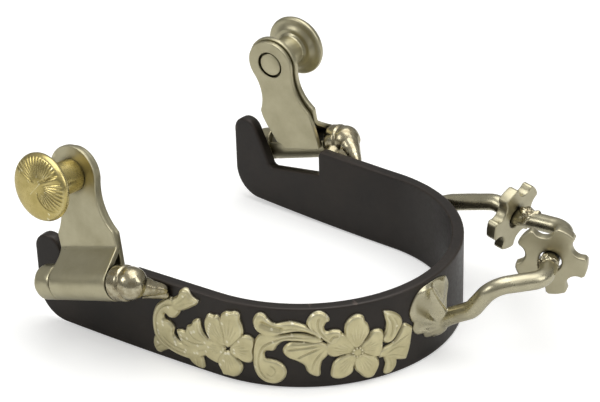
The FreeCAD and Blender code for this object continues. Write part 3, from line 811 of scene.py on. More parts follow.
def on_outer_plate(side):
    tangent = np.gradient(SECTION, SECTION_LONG, axis=0)
    tangent /= np.linalg.norm(tangent, axis=1)[:, None]
    inward = np.stack([-tangent[:, 1], tangent[:, 0]], -1)

    def place(flat, below):
        along = flat[:, 1]
        w = np.interp(along, SECTION_LONG, SECTION[:, 0])
        t = np.interp(along, SECTION_LONG, SECTION[:, 1])
        nw = np.interp(along, SECTION_LONG, inward[:, 0])
        nt = np.interp(along, SECTION_LONG, inward[:, 1])
        size = np.hypot(nw, nt)
        return from_hinge(side, np.stack([flat[:, 0], w + nw / size * below,
                                          t + nt / size * below], -1), LEAN)
    return place


def head_steps(radius, waist, left):
    """Round head on a narrow waist, from the right shoulder over to the left one."""
    low = HEAD_UP - 0.375 * radius
    half = 0.927 * radius
    return [(HEAD_AT + half, low, -waist), (HEAD_AT - half, low, 1.47), (*left, -waist)]


def circle(centre, radius, count=48):
    angles = 2 * math.pi * np.arange(count) / count
    return np.stack([centre[0] + radius * np.cos(angles), centre[1] + radius * np.sin(angles)], -1)


# flanks of the outer plate: (along the pin, down from the bend) on the left and on the right
FLANKS = {
    NEAR: ([(-7.4, 0.3), (-6.9, 1.6), (-6.6, 2.9), (-6.5, 5.0)],
           [(13.65, 8.2), (13.35, 5.8), (13.1, 3.35), (12.85, 1.2), (12.6, -1.2)]),
    FAR: ([(-7.7, 0.3), (-8.4, 2.5), (-9.2, 4.8), (-9.8, 7.5)],
          [(10.4, 7.8), (10.1, 5.6), (10.1, 3.4), (10.4, 1.2), (10.75, -1.2)]),
}
OUTER_SHOULDER = {NEAR: 12.35, FAR: 11.3}
INNER_FLANK = {NEAR: (12.1, 11.8), FAR: (10.3, 10.4)}


def build_outer_plate(side_name, side):
    """Front ply: head, waist, shoulders, then folded out over the pin and curled under it."""
    start = (OUTER_SHOULDER[side], 12.3)
    upper = outline(start, head_steps(HEAD_OUTER_R, 0.26, (-7.5, 12.2)) + [(-7.45, 9.4)], 24)
    upper = np.stack([upper[:, 0], TAB_HIGH - upper[:, 1]], -1)
    left, right = FLANKS[side]
    middle = BARREL_AT[side]
    end = SECTION_LONG[-1]
    left = [(u, FLAT_LONG + q) for u, q in left] + [(middle - BARREL_HALF, end)]
    right = [(middle + BARREL_HALF, end)] + [(u, FLAT_LONG + q) for u, q in right]
    loop = np.vstack([upper, left, right])
    hole = circle((HEAD_AT, TAB_HIGH - HEAD_UP), 3.6)
    points, faces = plate([loop, hole], SHEET, on_outer_plate(side), 0.55, 0.22, rounds=3)
    make_object(side_name + "_tab_outer_plate_skin", points, facing_out(points, faces),
                side_name + "_tab", NICKEL, [side_name + "_tab_outer_plate"])


def build_inner_plate(side_name, side):
    """Back ply: flat, with the rivet sunk in its head."""
    shoulder, foot = INNER_FLANK[side]
    right = (shoulder, 11.6)
    steps = [(foot - 0.4, 0.9, 0.35), (foot, 7), right] + head_steps(HEAD_INNER_R, 0.24, (-6.6, 13.8))
    steps += [(-6.7, 11.6), (-6.3, 9.2), (-4.6, 3), (-2.9, 0.95, -0.35)]
    loop = outline((foot - 1.1, 0.25), steps + [(foot - 1.1, 0.25)], 24)
    hole = circle((HEAD_AT, HEAD_UP), 3.95)

    def place(flat, below):
        outer = PLY + SHEET + 0.02 + SHEET
        return from_hinge(side, np.stack([flat[:, 0], outer - below, flat[:, 1]], -1), LEAN)
    points, faces = plate([loop, hole], SHEET, place, 0.55, 0.22, rounds=3)
    make_object(side_name + "_tab_inner_plate_skin", points, facing_out(points, faces),
                side_name + "_tab", NICKEL, [side_name + "_tab_inner_plate"])


FAN = (1.6, 0.9)
ARC_CENTRE = (5.9, -1.1)
ARC_R = 5.25


def smooth_step(value, low, high):
    share = min(1, max(0, (value - low) / (high - low)))
    return share * share * (3 - 2 * share)


def fan_engraving(radius, angle, height):
    """Two engraved fans beside a plain crescent, with a raised ridge between the fans."""
    if height < RIM_AT + 0.9:
        return 0
    x, y = radius * math.cos(angle), radius * math.sin(angle)
    dx, dy = x - FAN[0], y - FAN[1]
    away = math.hypot(dx, dy)
    turn = math.degrees(math.atan2(dy, dx))
    rim = min(1, max(0, (8.5 - radius) / 0.6))
    grown = smooth_step(away, 0.5, 3.0)
    ridge_off = (turn - RIDGE_TURN) * math.radians(1) * away
    ridge = 0.16 * math.exp(-(ridge_off / 0.55) ** 2) - 0.24 * math.exp(-((ridge_off - 0.85) / 0.3) ** 2)
    if abs(turn - RIDGE_TURN) > 60:
        ridge = 0
    if turn > RIDGE_TURN:
        inside = smooth_step(turn, 22, 28) * (1 - smooth_step(turn, 143, 150))
        rays = 0.5 + 0.5 * math.cos(2 * math.pi * turn / 8.5)
        return rim * (ridge * grown - inside * grown * (0.05 + 0.15 * rays))
    arc = ARC_R - math.hypot(x - ARC_CENTRE[0], y - ARC_CENTRE[1])
    inside = smooth_step(arc, 0.1, 0.6) * (1 - smooth_step(turn, 4, 9))
    groove = 0.2 * math.exp(-(arc / 0.22) ** 2) if turn > -115 else 0
    rays = 0.5 + 0.5 * math.cos(2 * math.pi * turn / 9.5)
    return rim * (ridge * grown - groove - inside * grown * (0.06 + 0.2 * rays))


def button_place(side):
    """Button coordinates (x, y across, z out of the tab) to the row frame."""
    def place(points):
        seat = np.stack([HEAD_AT + points[:, 0], PLY - points[:, 2], HEAD_UP + points[:, 1]], -1)
        return from_hinge(side, seat, LEAN)
    return place


RIM_AT = 10.4
HEAD_R = 8.95


def build_button(side_name, side, material, engraved):
    """Turned strap button: riveted tail, neck, dished underside, domed head."""
    profile = [(0, -2.75), (3.1, -2.75), (3.42, -2.6), (3.42, -0.01), (4.35, 0.0), (4.35, 0.3)]
    profile += [(4.35, 0.3 + 0.77 * k) for k in range(1, 11)]
    dish = [(4.42, -2.4), (4.62, -2.05), (5.0, -1.85), (5.5, -1.8), (5.9, -1.68), (6.3, -1.4),
            (6.8, -1.1), (7.3, -0.85), (7.8, -0.7), (8.3, -0.58), (8.65, -0.44), (8.88, -0.2),
            (HEAD_R, 0.2), (HEAD_R - 0.02, 0.6), (HEAD_R - 0.14, 0.88)]
    profile += [(radius, RIM_AT + up) for radius, up in dish]
    rings = 40 if engraved else 24
    for k in range(rings + 1):
        radius = (HEAD_R - 0.32) * (1 - k / rings)
        dome = math.sqrt(1 - (radius / (HEAD_R - 0.28)) ** 2)
        profile.append((radius, RIM_AT + 1.1 + 2.1 * dome))
    points, faces = lathe(profile, 288 if engraved else 144, fan_engraving if engraved else None)
    points = button_place(side)(points)
    make_object(side_name + "_button_skin", points, facing_out(points, faces),
                side_name + "_tab", material, [side_name + "_button"])


# ------------------------------------------------------------------ shank

def rounded_path(corners, radius, step=0.35):
    """Points along straight runs whose bends all have the same radius."""
    corners = [np.array(c, float) for c in corners]
    path = [corners[0]]
    for here, after in zip(corners[1:-1], corners[2:]):
        back = path[-1] - here
        back /= np.linalg.norm(back)
        ahead = (after - here) / np.linalg.norm(after - here)
        half = math.acos(np.clip(back @ ahead, -1, 1)) / 2
        setback = radius / math.tan(half)
        toward = (back + ahead) / np.linalg.norm(back + ahead)
        centre = here + toward * radius / math.sin(half)
        first = here + back * setback - centre
        last = here + ahead * setback - centre
        turn = math.pi - 2 * half
        count = max(3, int(radius * turn / step))
        path += straight(path[-1], first + centre, step)
        for k in range(1, count + 1):
            share = k / count
            spoke = (math.sin((1 - share) * turn) * first + math.sin(share * turn) * last)
            path.append(centre + spoke / math.sin(turn))
    path += straight(path[-1], corners[-1], step)
    return np.array(path)


def straight(begin, end, step):
    count = max(1, int(np.linalg.norm(end - begin) / step))
    return [begin + (end - begin) * k / count for k in range(1, count + 1)]


def heel_place(radius, degrees, z):
    angle = math.radians(degrees)
    return (radius * math.cos(angle), radius * math.sin(angle), z)


NEAR_FOOT = (-1.5, -2.6)
FAR_FOOT = (67, 5)


def shank_corners():
    """Corners of the bent rod; the run back along the far side dips where its rowel hangs."""
    root_r = OUTER_R - 0.7
    return [heel_place(root_r, *NEAR_FOOT), (51.8, -0.9, 4), (57.6, -1, ROD_LEVEL + 0.3),
            (66.2, 10.1, ROD_LEVEL), (62, 20.9, ROD_LEVEL), (58.5, 36.4, ROD_LEVEL),
            (40.8, 37.7, ROD_LEVEL - 1.3), (35.6, 38.4, ROD_LEVEL + 0.9),
            (20.5, 39.9, ROD_LEVEL - 4), heel_place(root_r, FAR_FOOT[0] + 2, FAR_FOOT[1] + 0.5)]


def fan_relief(root, rib):
    """Height of a scallop foot: a raised rib from the rod to one edge, fluted lobes beside it."""
    rib_line = curve([p[:2] for p in rib], closed=False)
    rib_high = np.array([p[2] for p in rib], float)
    rib_wide = np.array([p[3] for p in rib], float)

    def relief(flat, depth):
        offset = flat - np.array(root)
        r = np.hypot(offset[:, 0], offset[:, 1])
        theta = np.arctan2(offset[:, 1], offset[:, 0])
        base = 0.75 + 2.4 * np.exp(-(r / 3.2) ** 1.5)
        flutes = 0.28 * np.cos(theta * 11) * np.clip((r - 1.5) / 4, 0, 1)
        d, _, share = nearest_on(flat, rib_line, False)
        places = np.linspace(0, 1, len(rib))
        high = np.interp(share, places, rib_high)
        wide = np.interp(share, places, rib_wide)
        ridge = high * np.exp(-(d / wide) ** 2.4)
        field = np.log(np.exp(3 * (base + flutes)) + np.exp(3 * ridge)) / 3
        edge = np.clip((depth - 0.2) / 1.3, 0, 1)
        return 0.45 + (field - 0.45) * (1 - (1 - edge) ** 2)
    return relief


def foot_mesh(loop, relief, turn=0.0):
    """Scallop foot as a closed relief on the band, its outline turned round by turn mm."""
    def place(flat, below):
        moved = flat + np.array([turn, 0])
        return on_band(moved, below)
    return plate([loop], 0.5, place, 0.3, 0.2, relief, rounds=3)


def build_shank():
    corners = shank_corners()
    path = rounded_path(corners, ROD_BEND)
    along = np.concatenate([[0], np.cumsum(np.linalg.norm(np.diff(path, axis=0), axis=1))])
    long = along[-1]
    radii = ROD_R + 0.45 * np.exp(-(along / 3.5) ** 2) + 0.3 * np.exp(-((long - along) / 4) ** 2)
    rod = tube(path, radii, 48)
    near_loop = curve([(1.2, -6.2), (-1.4, -5.6), (-2.6, -4.0), (-2.4, -0.5), (-3.2, 3.0),
                       (-3.9, 6.6), (-2.4, 9.2, 1), (0.6, 10.2), (4.2, 10.4), (8.0, 9.9), (10.6, 7.8),
                       (11.9, 4.6), (11.3, 2.0), (10.5, 1.1, 1), (10.9, -0.6), (9.6, -2.6),
                       (7.3, -3.4, 1), (6.2, -4.9), (4.0, -5.6, 1), (2.8, -6.4)])
    rib = [(5.0, 9.9, 0.9, 1.0), (4.5, 8.0, 1.5, 1.2), (3.6, 5.6, 2.3, 1.5), (2.6, 3.2, 3.3, 1.8),
           (1.7, 0.6, 4.4, 2.1), (1.2, -1.6, 4.6, 2.3)]
    near_foot = foot_mesh(near_loop, fan_relief((1.1, -3.0), rib))
    far_along = -math.radians(FAR_FOOT[0]) * OUTER_R
    far_loop = curve([(2.6, 6.8), (3.4, 4.4), (2.2, 2.2), (0.4, 0.2), (-1.0, -2.6), (-3.6, -4.6),
                      (-7.0, -5.2), (-9.8, -3.6), (-11.4, -0.6), (-11.8, 2.8), (-10.6, 6.0),
                      (-8.0, 8.4), (-4.8, 9.2), (-1.6, 9.0), (1.2, 8.6)])
    rib = [(-9.6, -2.6, 0.9, 1.0), (-7.6, -1.2, 1.5, 1.3), (-5.2, 0.8, 2.4, 1.6), (-2.8, 2.8, 3.4, 1.9),
           (-0.8, 4.4, 4.0, 2.1)]
    far_foot = foot_mesh(far_loop, fan_relief((0, 5.0), rib), far_along)
    skin, polygons, normals = melt([rod, near_foot, far_foot], 0.2, 3)
    skin = dent(skin, normals, [(9.0, 0.10), (3.0, 0.04)])
    make_object("shank_skin", skin, polygons, BAND_BODY, ROD_NICKEL, ["shank"])


def build_bead(name, centre, axis, radii):
    """Blob of braze run on to the rod beside a rowel."""
    turn = Vector((0, 0, 1)).rotation_difference(Vector(axis)).to_matrix()
    lumps = [ball(centre, radii, turn, 40, 60)]
    skin, polygons, normals = melt(lumps, 0.14, 1)
    skin = dent(skin, normals, [(1.7, 0.7), (0.7, 0.3)])
    make_object(name + "_skin", skin, polygons, BAND_BODY, CAST, [name])


# ------------------------------------------------------------------ rowels

ROWELS = {
    "bar": (np.array([62.05, 20.7, 11.55]), Vector((-0.292, 0.956, 0)), 58.5),
    "leg": (np.array([40.85, 37.79, 10.55]), Vector((-0.981, 0.103, 0.163)), 5.2),
}


def rowel_outline():
    """Five blunt teeth with rounded corners between round valleys."""
    valley_r = 2.9
    valley_at = 9.45
    angles = np.linspace(0, 2 * math.pi, 1440, endpoint=False)
    loop = []
    for angle in angles:
        local = (angle + math.pi / 5) % (2 * math.pi / 5) - math.pi / 5
        reach = ROWEL_R
        across = valley_at * math.sin(abs(local))
        if across < valley_r:
            reach = min(reach, valley_at * math.cos(local) - math.sqrt(valley_r ** 2 - across ** 2))
        loop.append((reach * math.cos(angle), reach * math.sin(angle)))
    loop = np.array(loop)
    # round the corners: pull in, then let out again
    sharp = np.hypot(loop[:, 0], loop[:, 1])
    width = 13
    kernel = np.hanning(width + 2)[1:-1]
    kernel /= kernel.sum()
    padded = np.concatenate([sharp[-width:], sharp, sharp[:width]])
    soft = np.convolve(padded, kernel, "same")[width:-width]
    loop = np.stack([soft * np.cos(angles), soft * np.sin(angles)], -1)
    return loop[::4]


def build_rowel(name, centre, axis, phase):
    turn = Vector((0, 0, 1)).rotation_difference(axis).to_matrix()
    turn = np.array(turn @ Matrix.Rotation(math.radians(phase), 3, "Z"))

    def place(flat, below):
        local = np.stack([flat[:, 0], flat[:, 1], ROWEL_HALF - below], -1)
        return local @ turn.T + centre
    loops = [rowel_outline(), circle((0, 0), 2.95)]
    points, faces = plate(loops, 2 * ROWEL_HALF, place, 0.5, 0.4, rounds=3)
    label = name + "_rowel"
    make_object(label + "_skin", points, facing_out(points, faces), label + "_body", ROWEL_STEEL,
                [label])


# ------------------------------------------------------------------ overlay

class Shape:
    """One leaf, petal or scroll: an outline with a height, a swell and engraved lines."""

    def __init__(self, loop, level, swell, grooves=(), line=0.0, trough=None):
        self.loop = curve(loop)
        self.level = level
        self.swell = swell
        self.grooves = [(curve(g, closed=False), depth, width) for g, depth, width in grooves]
        self.line = line
        self.trough = trough

    def height(self, flat):
        depth, _ = depth_in(flat, [self.loop])
        inside = depth > -0.02
        high = np.full(len(flat), -1.0)
        points = flat[inside]
        d = np.maximum(depth[inside], 0)
        h = self.level + self.swell * (1 - np.exp(-(d / 1.1) ** 1.3))
        h -= 0.30 * np.exp(-(d / 0.22) ** 2)
        if self.line:
            h -= self.line * np.exp(-((d - 0.75) / 0.2) ** 2)
        for line, deep, wide in self.grooves:
            away, _, share = nearest_on(points, line, False)
            fade = np.clip(share * 8, 0, 1) * np.clip((1 - share) * 5, 0, 1)
            h -= deep * fade * np.exp(-(away / wide) ** 2)
        if self.trough is not None:
            line, deep, wide = self.trough
            away, _, _ = nearest_on(points, curve(line, closed=False), False)
            h -= deep * np.exp(-(away / wide) ** 2)
        high[inside] = h
        return high, depth


def rays(centre, tip, spread, count, depth=0.14, start=0.18, end=0.9):
    """Engraved lines that fan out along a petal from the flower's centre."""
    centre, tip = np.array(centre, float), np.array(tip, float)
    way = tip - centre
    grooves = []
    for k in range(count):
        angle = spread * (k / (count - 1) - 0.5) if count > 1 else 0.0
        bent = np.array([way[0] * math.cos(angle) - way[1] * math.sin(angle),
                         way[0] * math.sin(angle) + way[1] * math.cos(angle)])
        reach = end - 0.22 * abs(angle / max(spread, 1e-6) * 2)
        grooves.append(([tuple(centre + way * start + (bent - way) * start * 0.6),
                         tuple(centre + bent * (start + reach) / 2),
                         tuple(centre + bent * reach)], depth, 0.17))
    return grooves


def build_relief(name, shapes, spacing=0.17):
    """One overlay piece: everything its shapes cover, as high as the highest of them."""
    loops = [shape.loop for shape in shapes]
    low = np.min([loop.min(0) for loop in loops], axis=0) - 0.5
    high = np.max([loop.max(0) for loop in loops], axis=0) + 0.5
    border = union_border(loops, low, high, spacing * 0.6)

    def relief(flat, depth):
        best = np.full(len(flat), -1.0)
        for shape in shapes:
            best = np.maximum(best, shape.height(flat)[0])
        best = np.maximum(best, 0.45)
        roll = np.clip((depth - 0.12) / 0.5, 0, 1)
        return best * (0.72 + 0.28 * np.sin(roll * math.pi / 2))
    points, faces = plate(border, 0.5, on_band, spacing, 0.12, relief, rounds=2)
    make_object(name + "_relief", points, facing_out(points, faces), BAND_BODY, OVERLAY,
                [name])


def union_border(loops, low, high, spacing):
    """Outer border of overlapping outlines, traced on a fine grid."""
    nx, ny = (np.ceil((high - low) / spacing).astype(int) + 1)
    gx, gy = np.meshgrid(low[0] + spacing * np.arange(nx), low[1] + spacing * np.arange(ny))
    points = np.stack([gx.ravel(), gy.ravel()], -1)
    level = np.full(len(points), -1e9)
    for loop in loops:
        near = ((points > loop.min(0) - 1) & (points < loop.max(0) + 1)).all(1)
        value = np.full(len(points), -1e9)
        value[near] = depth_in(points[near], [loop])[0]
        level = np.maximum(level, value)
    level = level.reshape(ny, nx)
    level[np.abs(level) < 1e-7] = 1e-7
    segments = {}

    def cross(j1, i1, j2, i2):
        a, b = level[j1, i1], level[j2, i2]
        t = a / (a - b)
        return (j1, i1, j2, i2), (low[0] + spacing * (i1 + (i2 - i1) * t),
                                  low[1] + spacing * (j1 + (j2 - j1) * t))
    where = {}
    for j in range(ny - 1):
        row = level[j:j + 2]
        mixed = np.nonzero((row[:, :-1].min(0) < 0) | (row[:, 1:].min(0) < 0))[0]
        for i in mixed:
            corners = [(j, i), (j, i + 1), (j + 1, i + 1), (j + 1, i)]
            signs = [level[c] > 0 for c in corners]
            if all(signs) or not any(signs):
                continue
            starts, ends = [], []
            for k in range(4):
                a, b = corners[k], corners[(k + 1) % 4]
                if signs[k] == signs[(k + 1) % 4]:
                    continue
                first, second = (a, b) if a < b else (b, a)
                key, spot = cross(*first, *second)
                where[key] = spot
                (ends if signs[k] else starts).append(key)
            for start, end in zip(starts, ends):
                segments[end] = start
    found = []
    while segments:
        start = next(iter(segments))
        ring = [start]
        follow = segments.pop(start)
        while follow != start and follow in segments:
            ring.append(follow)
            follow = segments.pop(follow)
        ring = np.array([where[key] for key in ring])
        if len(ring) > 30:
            found.append(soften_ring(ring)[::2])
    return found


def soften_ring(ring):
    for _ in range(3):
        ring = 0.25 * np.roll(ring, 1, axis=0) + 0.5 * ring + 0.25 * np.roll(ring, -1, axis=0)
    return ring


def front_flower():
    centre = (60.2, -2.0)
    petals = [
        ([(65.4, -0.9, 1), (66.6, 1.3), (66.8, 3.6), (66.2, 5.4), (65.3, 6.6), (64.0, 6.5), (62.8, 6.9),
          (61.8, 6.1), (61.5, 4.0), (60.9, 1.0), (60.2, -1.4)], (64.6, 6.2), 0.95),
        ([(60.2, -1.6), (61.2, 2.0), (61.8, 4.6), (61.5, 7.4), (60.2, 8.7), (58.9, 8.9), (57.6, 9.3),
          (56.4, 8.8), (56.3, 7.0), (55.7, 5.4), (55.6, 3.2), (57.2, 1.0), (59.0, -1.0)], (58.6, 8.6), 1.12),
        ([(59.4, -1.4), (57.0, 1.6), (55.6, 2.9), (53.9, 3.0), (52.8, 2.1), (52.6, 0.6), (53.0, -1.2),
          (52.8, -3.0), (53.6, -4.6), (55.4, -5.0), (57.4, -4.2), (59.2, -3.0)], (52.9, -0.9), 0.98),
        ([(59.6, -2.6), (57.4, -4.2), (56.2, -5.6), (56.1, -7.2), (57.0, -8.9), (58.4, -9.9),
          (60.2, -10.0), (61.6, -10.0), (62.2, -8.9), (63.0, -7.4), (62.8, -5.4), (61.4, -3.4)],
         (59.5, -9.7), 1.06),
        ([(60.6, -2.2), (62.0, -0.8), (64.2, -0.6), (66.2, -0.9), (67.6, -2.2), (67.8, -4.6),
          (66.8, -6.3), (64.9, -7.1), (62.9, -7.2), (61.8, -5.0)], (67.0, -4.0), 0.86),
    ]
    shapes = []
    for loop, tip, level in petals:
        shapes.append(Shape(loop, level, 0.28, rays(centre, tip, 0.62, 5)))
    return shapes


def rear_flower():
    centre = (27.2, -1.7)
    petals = [
        ([(27.4, -0.6), (29.4, 1.6), (30.3, 4.0), (30.1, 6.4), (29.0, 8.0), (27.2, 8.8), (25.5, 8.2),
          (25.0, 6.6), (24.2, 5.4), (24.0, 3.0), (25.6, 0.8)], (27.0, 8.2), 1.14),
        ([(26.6, -1.0), (24.2, 2.0), (22.8, 3.3), (20.8, 3.1), (19.9, 1.4), (20.2, -0.8), (20.4, -2.8),
          (21.4, -4.6), (24.0, -3.6)], (20.4, -0.2), 0.98),
        ([(26.8, -2.2), (24.2, -3.4), (22.0, -4.6), (21.3, -6.6), (22.0, -8.6), (23.2, -10.1),
          (25.0, -10.0), (26.6, -8.4), (27.8, -6.8), (27.9, -4.2)], (23.4, -9.2), 1.08),
        ([(27.5, -2.4), (28.0, -5.4), (28.4, -7.6), (30.4, -8.8), (32.4, -8.9), (33.8, -8.0),
          (33.7, -5.8), (33.0, -3.8), (30.6, -2.2)], (32.6, -8.0), 1.02),
        ([(27.6, -1.2), (30.2, -2.0), (33.4, -2.4), (35.3, -0.6), (35.0, 1.4), (33.2, 3.0), (31.4, 4.2),
          (29.6, 3.2)], (34.4, 1.2), 0.94),
    ]
    shapes = []
    for loop, tip, level in petals:
        shapes.append(Shape(loop, level, 0.28, rays(centre, tip, 0.62, 5)))
    boss = [(centre[0] + 1.15 * math.cos(a), centre[1] + 1.15 * math.sin(a))
            for a in np.linspace(0, 2 * math.pi, 9)[:-1]]
    shapes.append(Shape(boss, 1.28, 0.12, [], 0.0))
    for k in range(9):
        angle = 2 * math.pi * k / 9
        spot = (centre[0] + 1.2 * math.cos(angle), centre[1] + 1.2 * math.sin(angle))
        bead = [(spot[0] + 0.34 * math.cos(a), spot[1] + 0.34 * math.sin(a))
                for a in np.linspace(0, 2 * math.pi, 7)[:-1]]
        shapes.append(Shape(bead, 1.55, 0.25))
    return shapes


def front_scroll():
    bud = [(76.4, 7.6), (74.6, 9.3), (74.0, 10.6), (72.8, 11.6), (71.4, 11.3), (70.2, 10.0),
           (68.2, 9.2, 1), (68.9, 8.1), (70.4, 7.0), (72.0, 5.9), (74.0, 4.9), (76.0, 5.2)]
    stem = [(76.6, 8.0), (79.6, 6.4), (81.8, 4.0), (83.0, 0.8), (83.1, -2.6), (82.3, -5.4),
            (80.2, -7.0), (77.0, -8.2), (74.0, -8.7), (70.8, -8.4), (67.6, -6.2), (69.6, -4.4),
            (73.0, -4.6), (75.4, -4.0), (76.6, -2.6), (76.3, -0.8), (77.6, 0.6), (79.3, 1.2),
            (78.9, 2.6), (77.6, 1.9), (76.2, 2.1), (74.8, 3.4), (74.2, 5.0)]
    curl = [(82.6, -5.0), (83.4, -6.6), (83.2, -8.4), (81.8, -9.8), (80.2, -8.9), (78.6, -8.0),
            (76.6, -7.6), (78.0, -6.0), (80.6, -5.4)]
    drop = [(72.4, -7.6), (71.6, -9.4), (69.6, -10.4), (67.6, -10.2), (67.4, -8.6), (68.2, -6.4),
            (70.4, -5.6)]
    leaf = [(75.8, -1.2, 1), (74.2, -0.7), (72.9, -0.6), (72.3, 1.0), (71.0, 1.8), (70.2, 3.2),
            (68.4, 4.0), (68.0, 2.2), (67.2, 0.2), (66.0, -0.8), (64.6, -1.4), (65.2, -4.0),
            (67.4, -6.6), (71.0, -6.4), (74.2, -4.6), (75.2, -3.0)]
    return [
        Shape(curl, 0.78, 0.3, [([(82.6, -8.4), (80.6, -7.0), (78.0, -6.8)], 0.2, 0.2)]),
        Shape(drop, 0.8, 0.28, [([(69.2, -9.8), (69.6, -7.6), (70.2, -6.0)], 0.15, 0.18)]),
        Shape(leaf, 0.9, 0.25, [([(74.6, -2.6), (70.6, -3.4), (66.0, -2.4)], 0.24, 0.2),
                                ([(72.0, 0.4), (70.2, -1.6), (66.6, -2.2)], 0.16, 0.17),
                                ([(69.0, 3.0), (68.6, 0.6), (66.2, -1.6)], 0.16, 0.17),
                                ([(73.4, -4.6), (69.8, -5.2), (66.0, -4.2)], 0.16, 0.17)]),
        Shape(stem, 1.0, 0.35, [([(74.6, 6.6), (78.6, 5.4), (81.0, 2.6), (81.9, -1.0), (81.0, -4.6),
                                  (78.0, -6.6), (74.0, -7.4), (70.0, -6.8)], 0.28, 0.24),
                                ([(80.0, -3.8), (76.8, -5.8), (72.0, -6.4)], 0.2, 0.2)]),
        Shape(bud, 1.16, 0.3, [([(71.2, 10.6), (73.0, 8.6), (75.6, 6.4)], 0.14, 0.18),
                               ([(69.2, 9.0), (71.8, 7.8), (74.6, 5.8)], 0.14, 0.18)]),
    ]


def middle_scroll():
    bulb = [(47.4, 7.4), (48.9, 8.4), (49.9, 9.8), (51.4, 10.0), (52.6, 8.6), (52.8, 6.6),
            (51.9, 4.8), (49.4, 3.8), (45.6, 4.6), (41.4, 5.4), (37.6, 4.2), (36.0, 3.2), (36.4, 5.2),
            (39.4, 7.0), (43.2, 8.2), (45.6, 7.8)]
    hook = [(49.8, 4.6), (51.8, 3.4), (52.9, 0.8), (53.3, -3.2), (53.0, -6.4), (51.8, -8.8),
            (49.6, -10.0), (47.2, -9.9), (45.4, -8.4), (44.8, -6.6), (45.4, -4.6), (47.0, -3.4),
            (48.8, -3.0, 1), (49.9, -2.9), (50.2, -1.6), (49.6, -0.7), (47.8, -0.4), (46.8, 1.1),
            (45.4, 2.4), (43.6, 2.6), (40.6, 2.4), (37.0, 1.8), (35.6, 2.8), (38.4, 4.4), (42.6, 4.8),
            (46.4, 4.4)]
    return [
        Shape(hook, 0.95, 0.34, [([(38.0, 3.6), (43.4, 3.9), (47.2, 2.8), (50.4, 0.6), (51.6, -2.8),
                                   (51.4, -6.2), (49.4, -8.6), (46.6, -8.4)], 0.28, 0.22),
                                 ([(49.0, -4.2), (47.4, -6.0), (48.6, -7.6), (50.2, -6.4)], 0.2, 0.2)]),
        Shape(bulb, 1.14, 0.3, [([(38.6, 5.2), (43.0, 6.4), (46.6, 5.9)], 0.2, 0.2)], 0.0,
              ([(46.0, 6.0), (48.6, 6.5), (50.4, 7.2)], 0.75, 0.75)),
    ]


def leaf_cluster():
    lower = [(45.6, -0.4), (44.4, -2.2), (42.2, -3.2), (40.4, -4.4), (39.6, -6.4), (38.0, -7.6),
             (36.6, -7.6), (36.4, -5.4), (35.9, -3.4), (34.4, -1.6), (34.0, 0.6), (36.4, 2.4),
             (39.6, 2.6), (42.8, 2.5), (44.8, 1.4)]
    upper = [(35.0, 2.2), (36.4, 3.6), (38.6, 5.4), (39.6, 7.4), (39.0, 9.4), (37.6, 10.7),
             (35.8, 10.8), (34.4, 9.6), (33.9, 8.2), (34.8, 7.6, 1), (35.3, 6.4), (34.8, 5.2),
             (33.0, 5.4), (31.0, 4.6), (31.6, 2.6), (33.2, 1.2)]
    return [
        Shape(lower, 0.92, 0.3, [([(44.6, 0.2), (40.6, 0.8), (36.4, 1.4)], 0.26, 0.22),
                                 ([(42.2, -2.4), (39.6, -0.8), (36.0, 0.8)], 0.26, 0.22),
                                 ([(38.6, -6.0), (37.8, -3.0), (35.4, 0.2)], 0.24, 0.2),
                                 ([(43.8, 1.8), (40.6, 2.0), (37.0, 2.2)], 0.16, 0.16)]),
        Shape(upper, 1.08, 0.3, [([(36.4, 9.8), (36.9, 7.4), (36.2, 5.0), (34.2, 2.6)], 0.34, 0.3),
                                 ([(38.4, 8.6), (38.2, 6.4), (36.2, 3.8)], 0.16, 0.17),
                                 ([(31.8, 3.6), (33.2, 3.6), (34.2, 2.2)], 0.3, 0.3)]),
    ]


def rear_leaf():
    upright = [(19.6, 2.2), (20.6, 0.2), (19.2, -1.4), (17.4, -1.0), (15.9, 0.8), (14.6, 3.2),
               (15.2, 5.2), (17.0, 6.9), (18.4, 7.6), (20.0, 8.0, 1), (19.6, 6.2), (19.2, 4.2)]
    side = [(21.4, -5.0), (21.6, -3.4), (19.6, -2.4), (17.2, -1.6), (15.4, 0.6), (14.0, 2.4),
            (12.4, 1.6), (11.2, 0.4, 1), (11.6, -1.6), (12.0, -4.2), (12.6, -6.2), (13.4, -8.1, 1),
            (14.8, -7.8), (16.3, -7.2), (18.2, -6.4), (19.8, -5.4)]
    drop = [(19.9, -5.0), (19.5, -7.4), (20.0, -10.0), (18.6, -10.6), (17.0, -9.8), (16.2, -8.2),
            (16.6, -6.0), (18.2, -4.4)]
    return [
        Shape(drop, 0.8, 0.28, [([(18.4, -9.8), (18.2, -7.4), (18.8, -5.4)], 0.15, 0.18)]),
        Shape(side, 0.92, 0.3, [([(19.6, -4.2), (16.6, -3.4), (13.4, -4.4)], 0.2, 0.2),
                                ([(18.2, -2.8), (15.4, -1.6), (12.4, -0.6)], 0.2, 0.2),
                                ([(20.0, -4.8), (17.4, -5.2), (14.2, -6.8)], 0.16, 0.17)]),
        Shape(upright, 1.08, 0.3, [([(19.2, 7.0), (17.8, 4.4), (17.8, 1.8), (19.0, -0.4)], 0.34, 0.32),
                                   ([(17.4, 6.0), (16.4, 3.6), (16.8, 1.0)], 0.16, 0.17)]),
    ]


def build_overlay():
    build_relief("overlay_front_scroll", front_scroll())
    build_relief("overlay_front_flower", front_flower())
    build_relief("overlay_middle_scroll", middle_scroll())
    build_relief("overlay_leaves", leaf_cluster())
    build_relief("overlay_rear_flower", rear_flower())
    build_relief("overlay_rear_leaf", rear_leaf())


# ------------------------------------------------------------------ studio

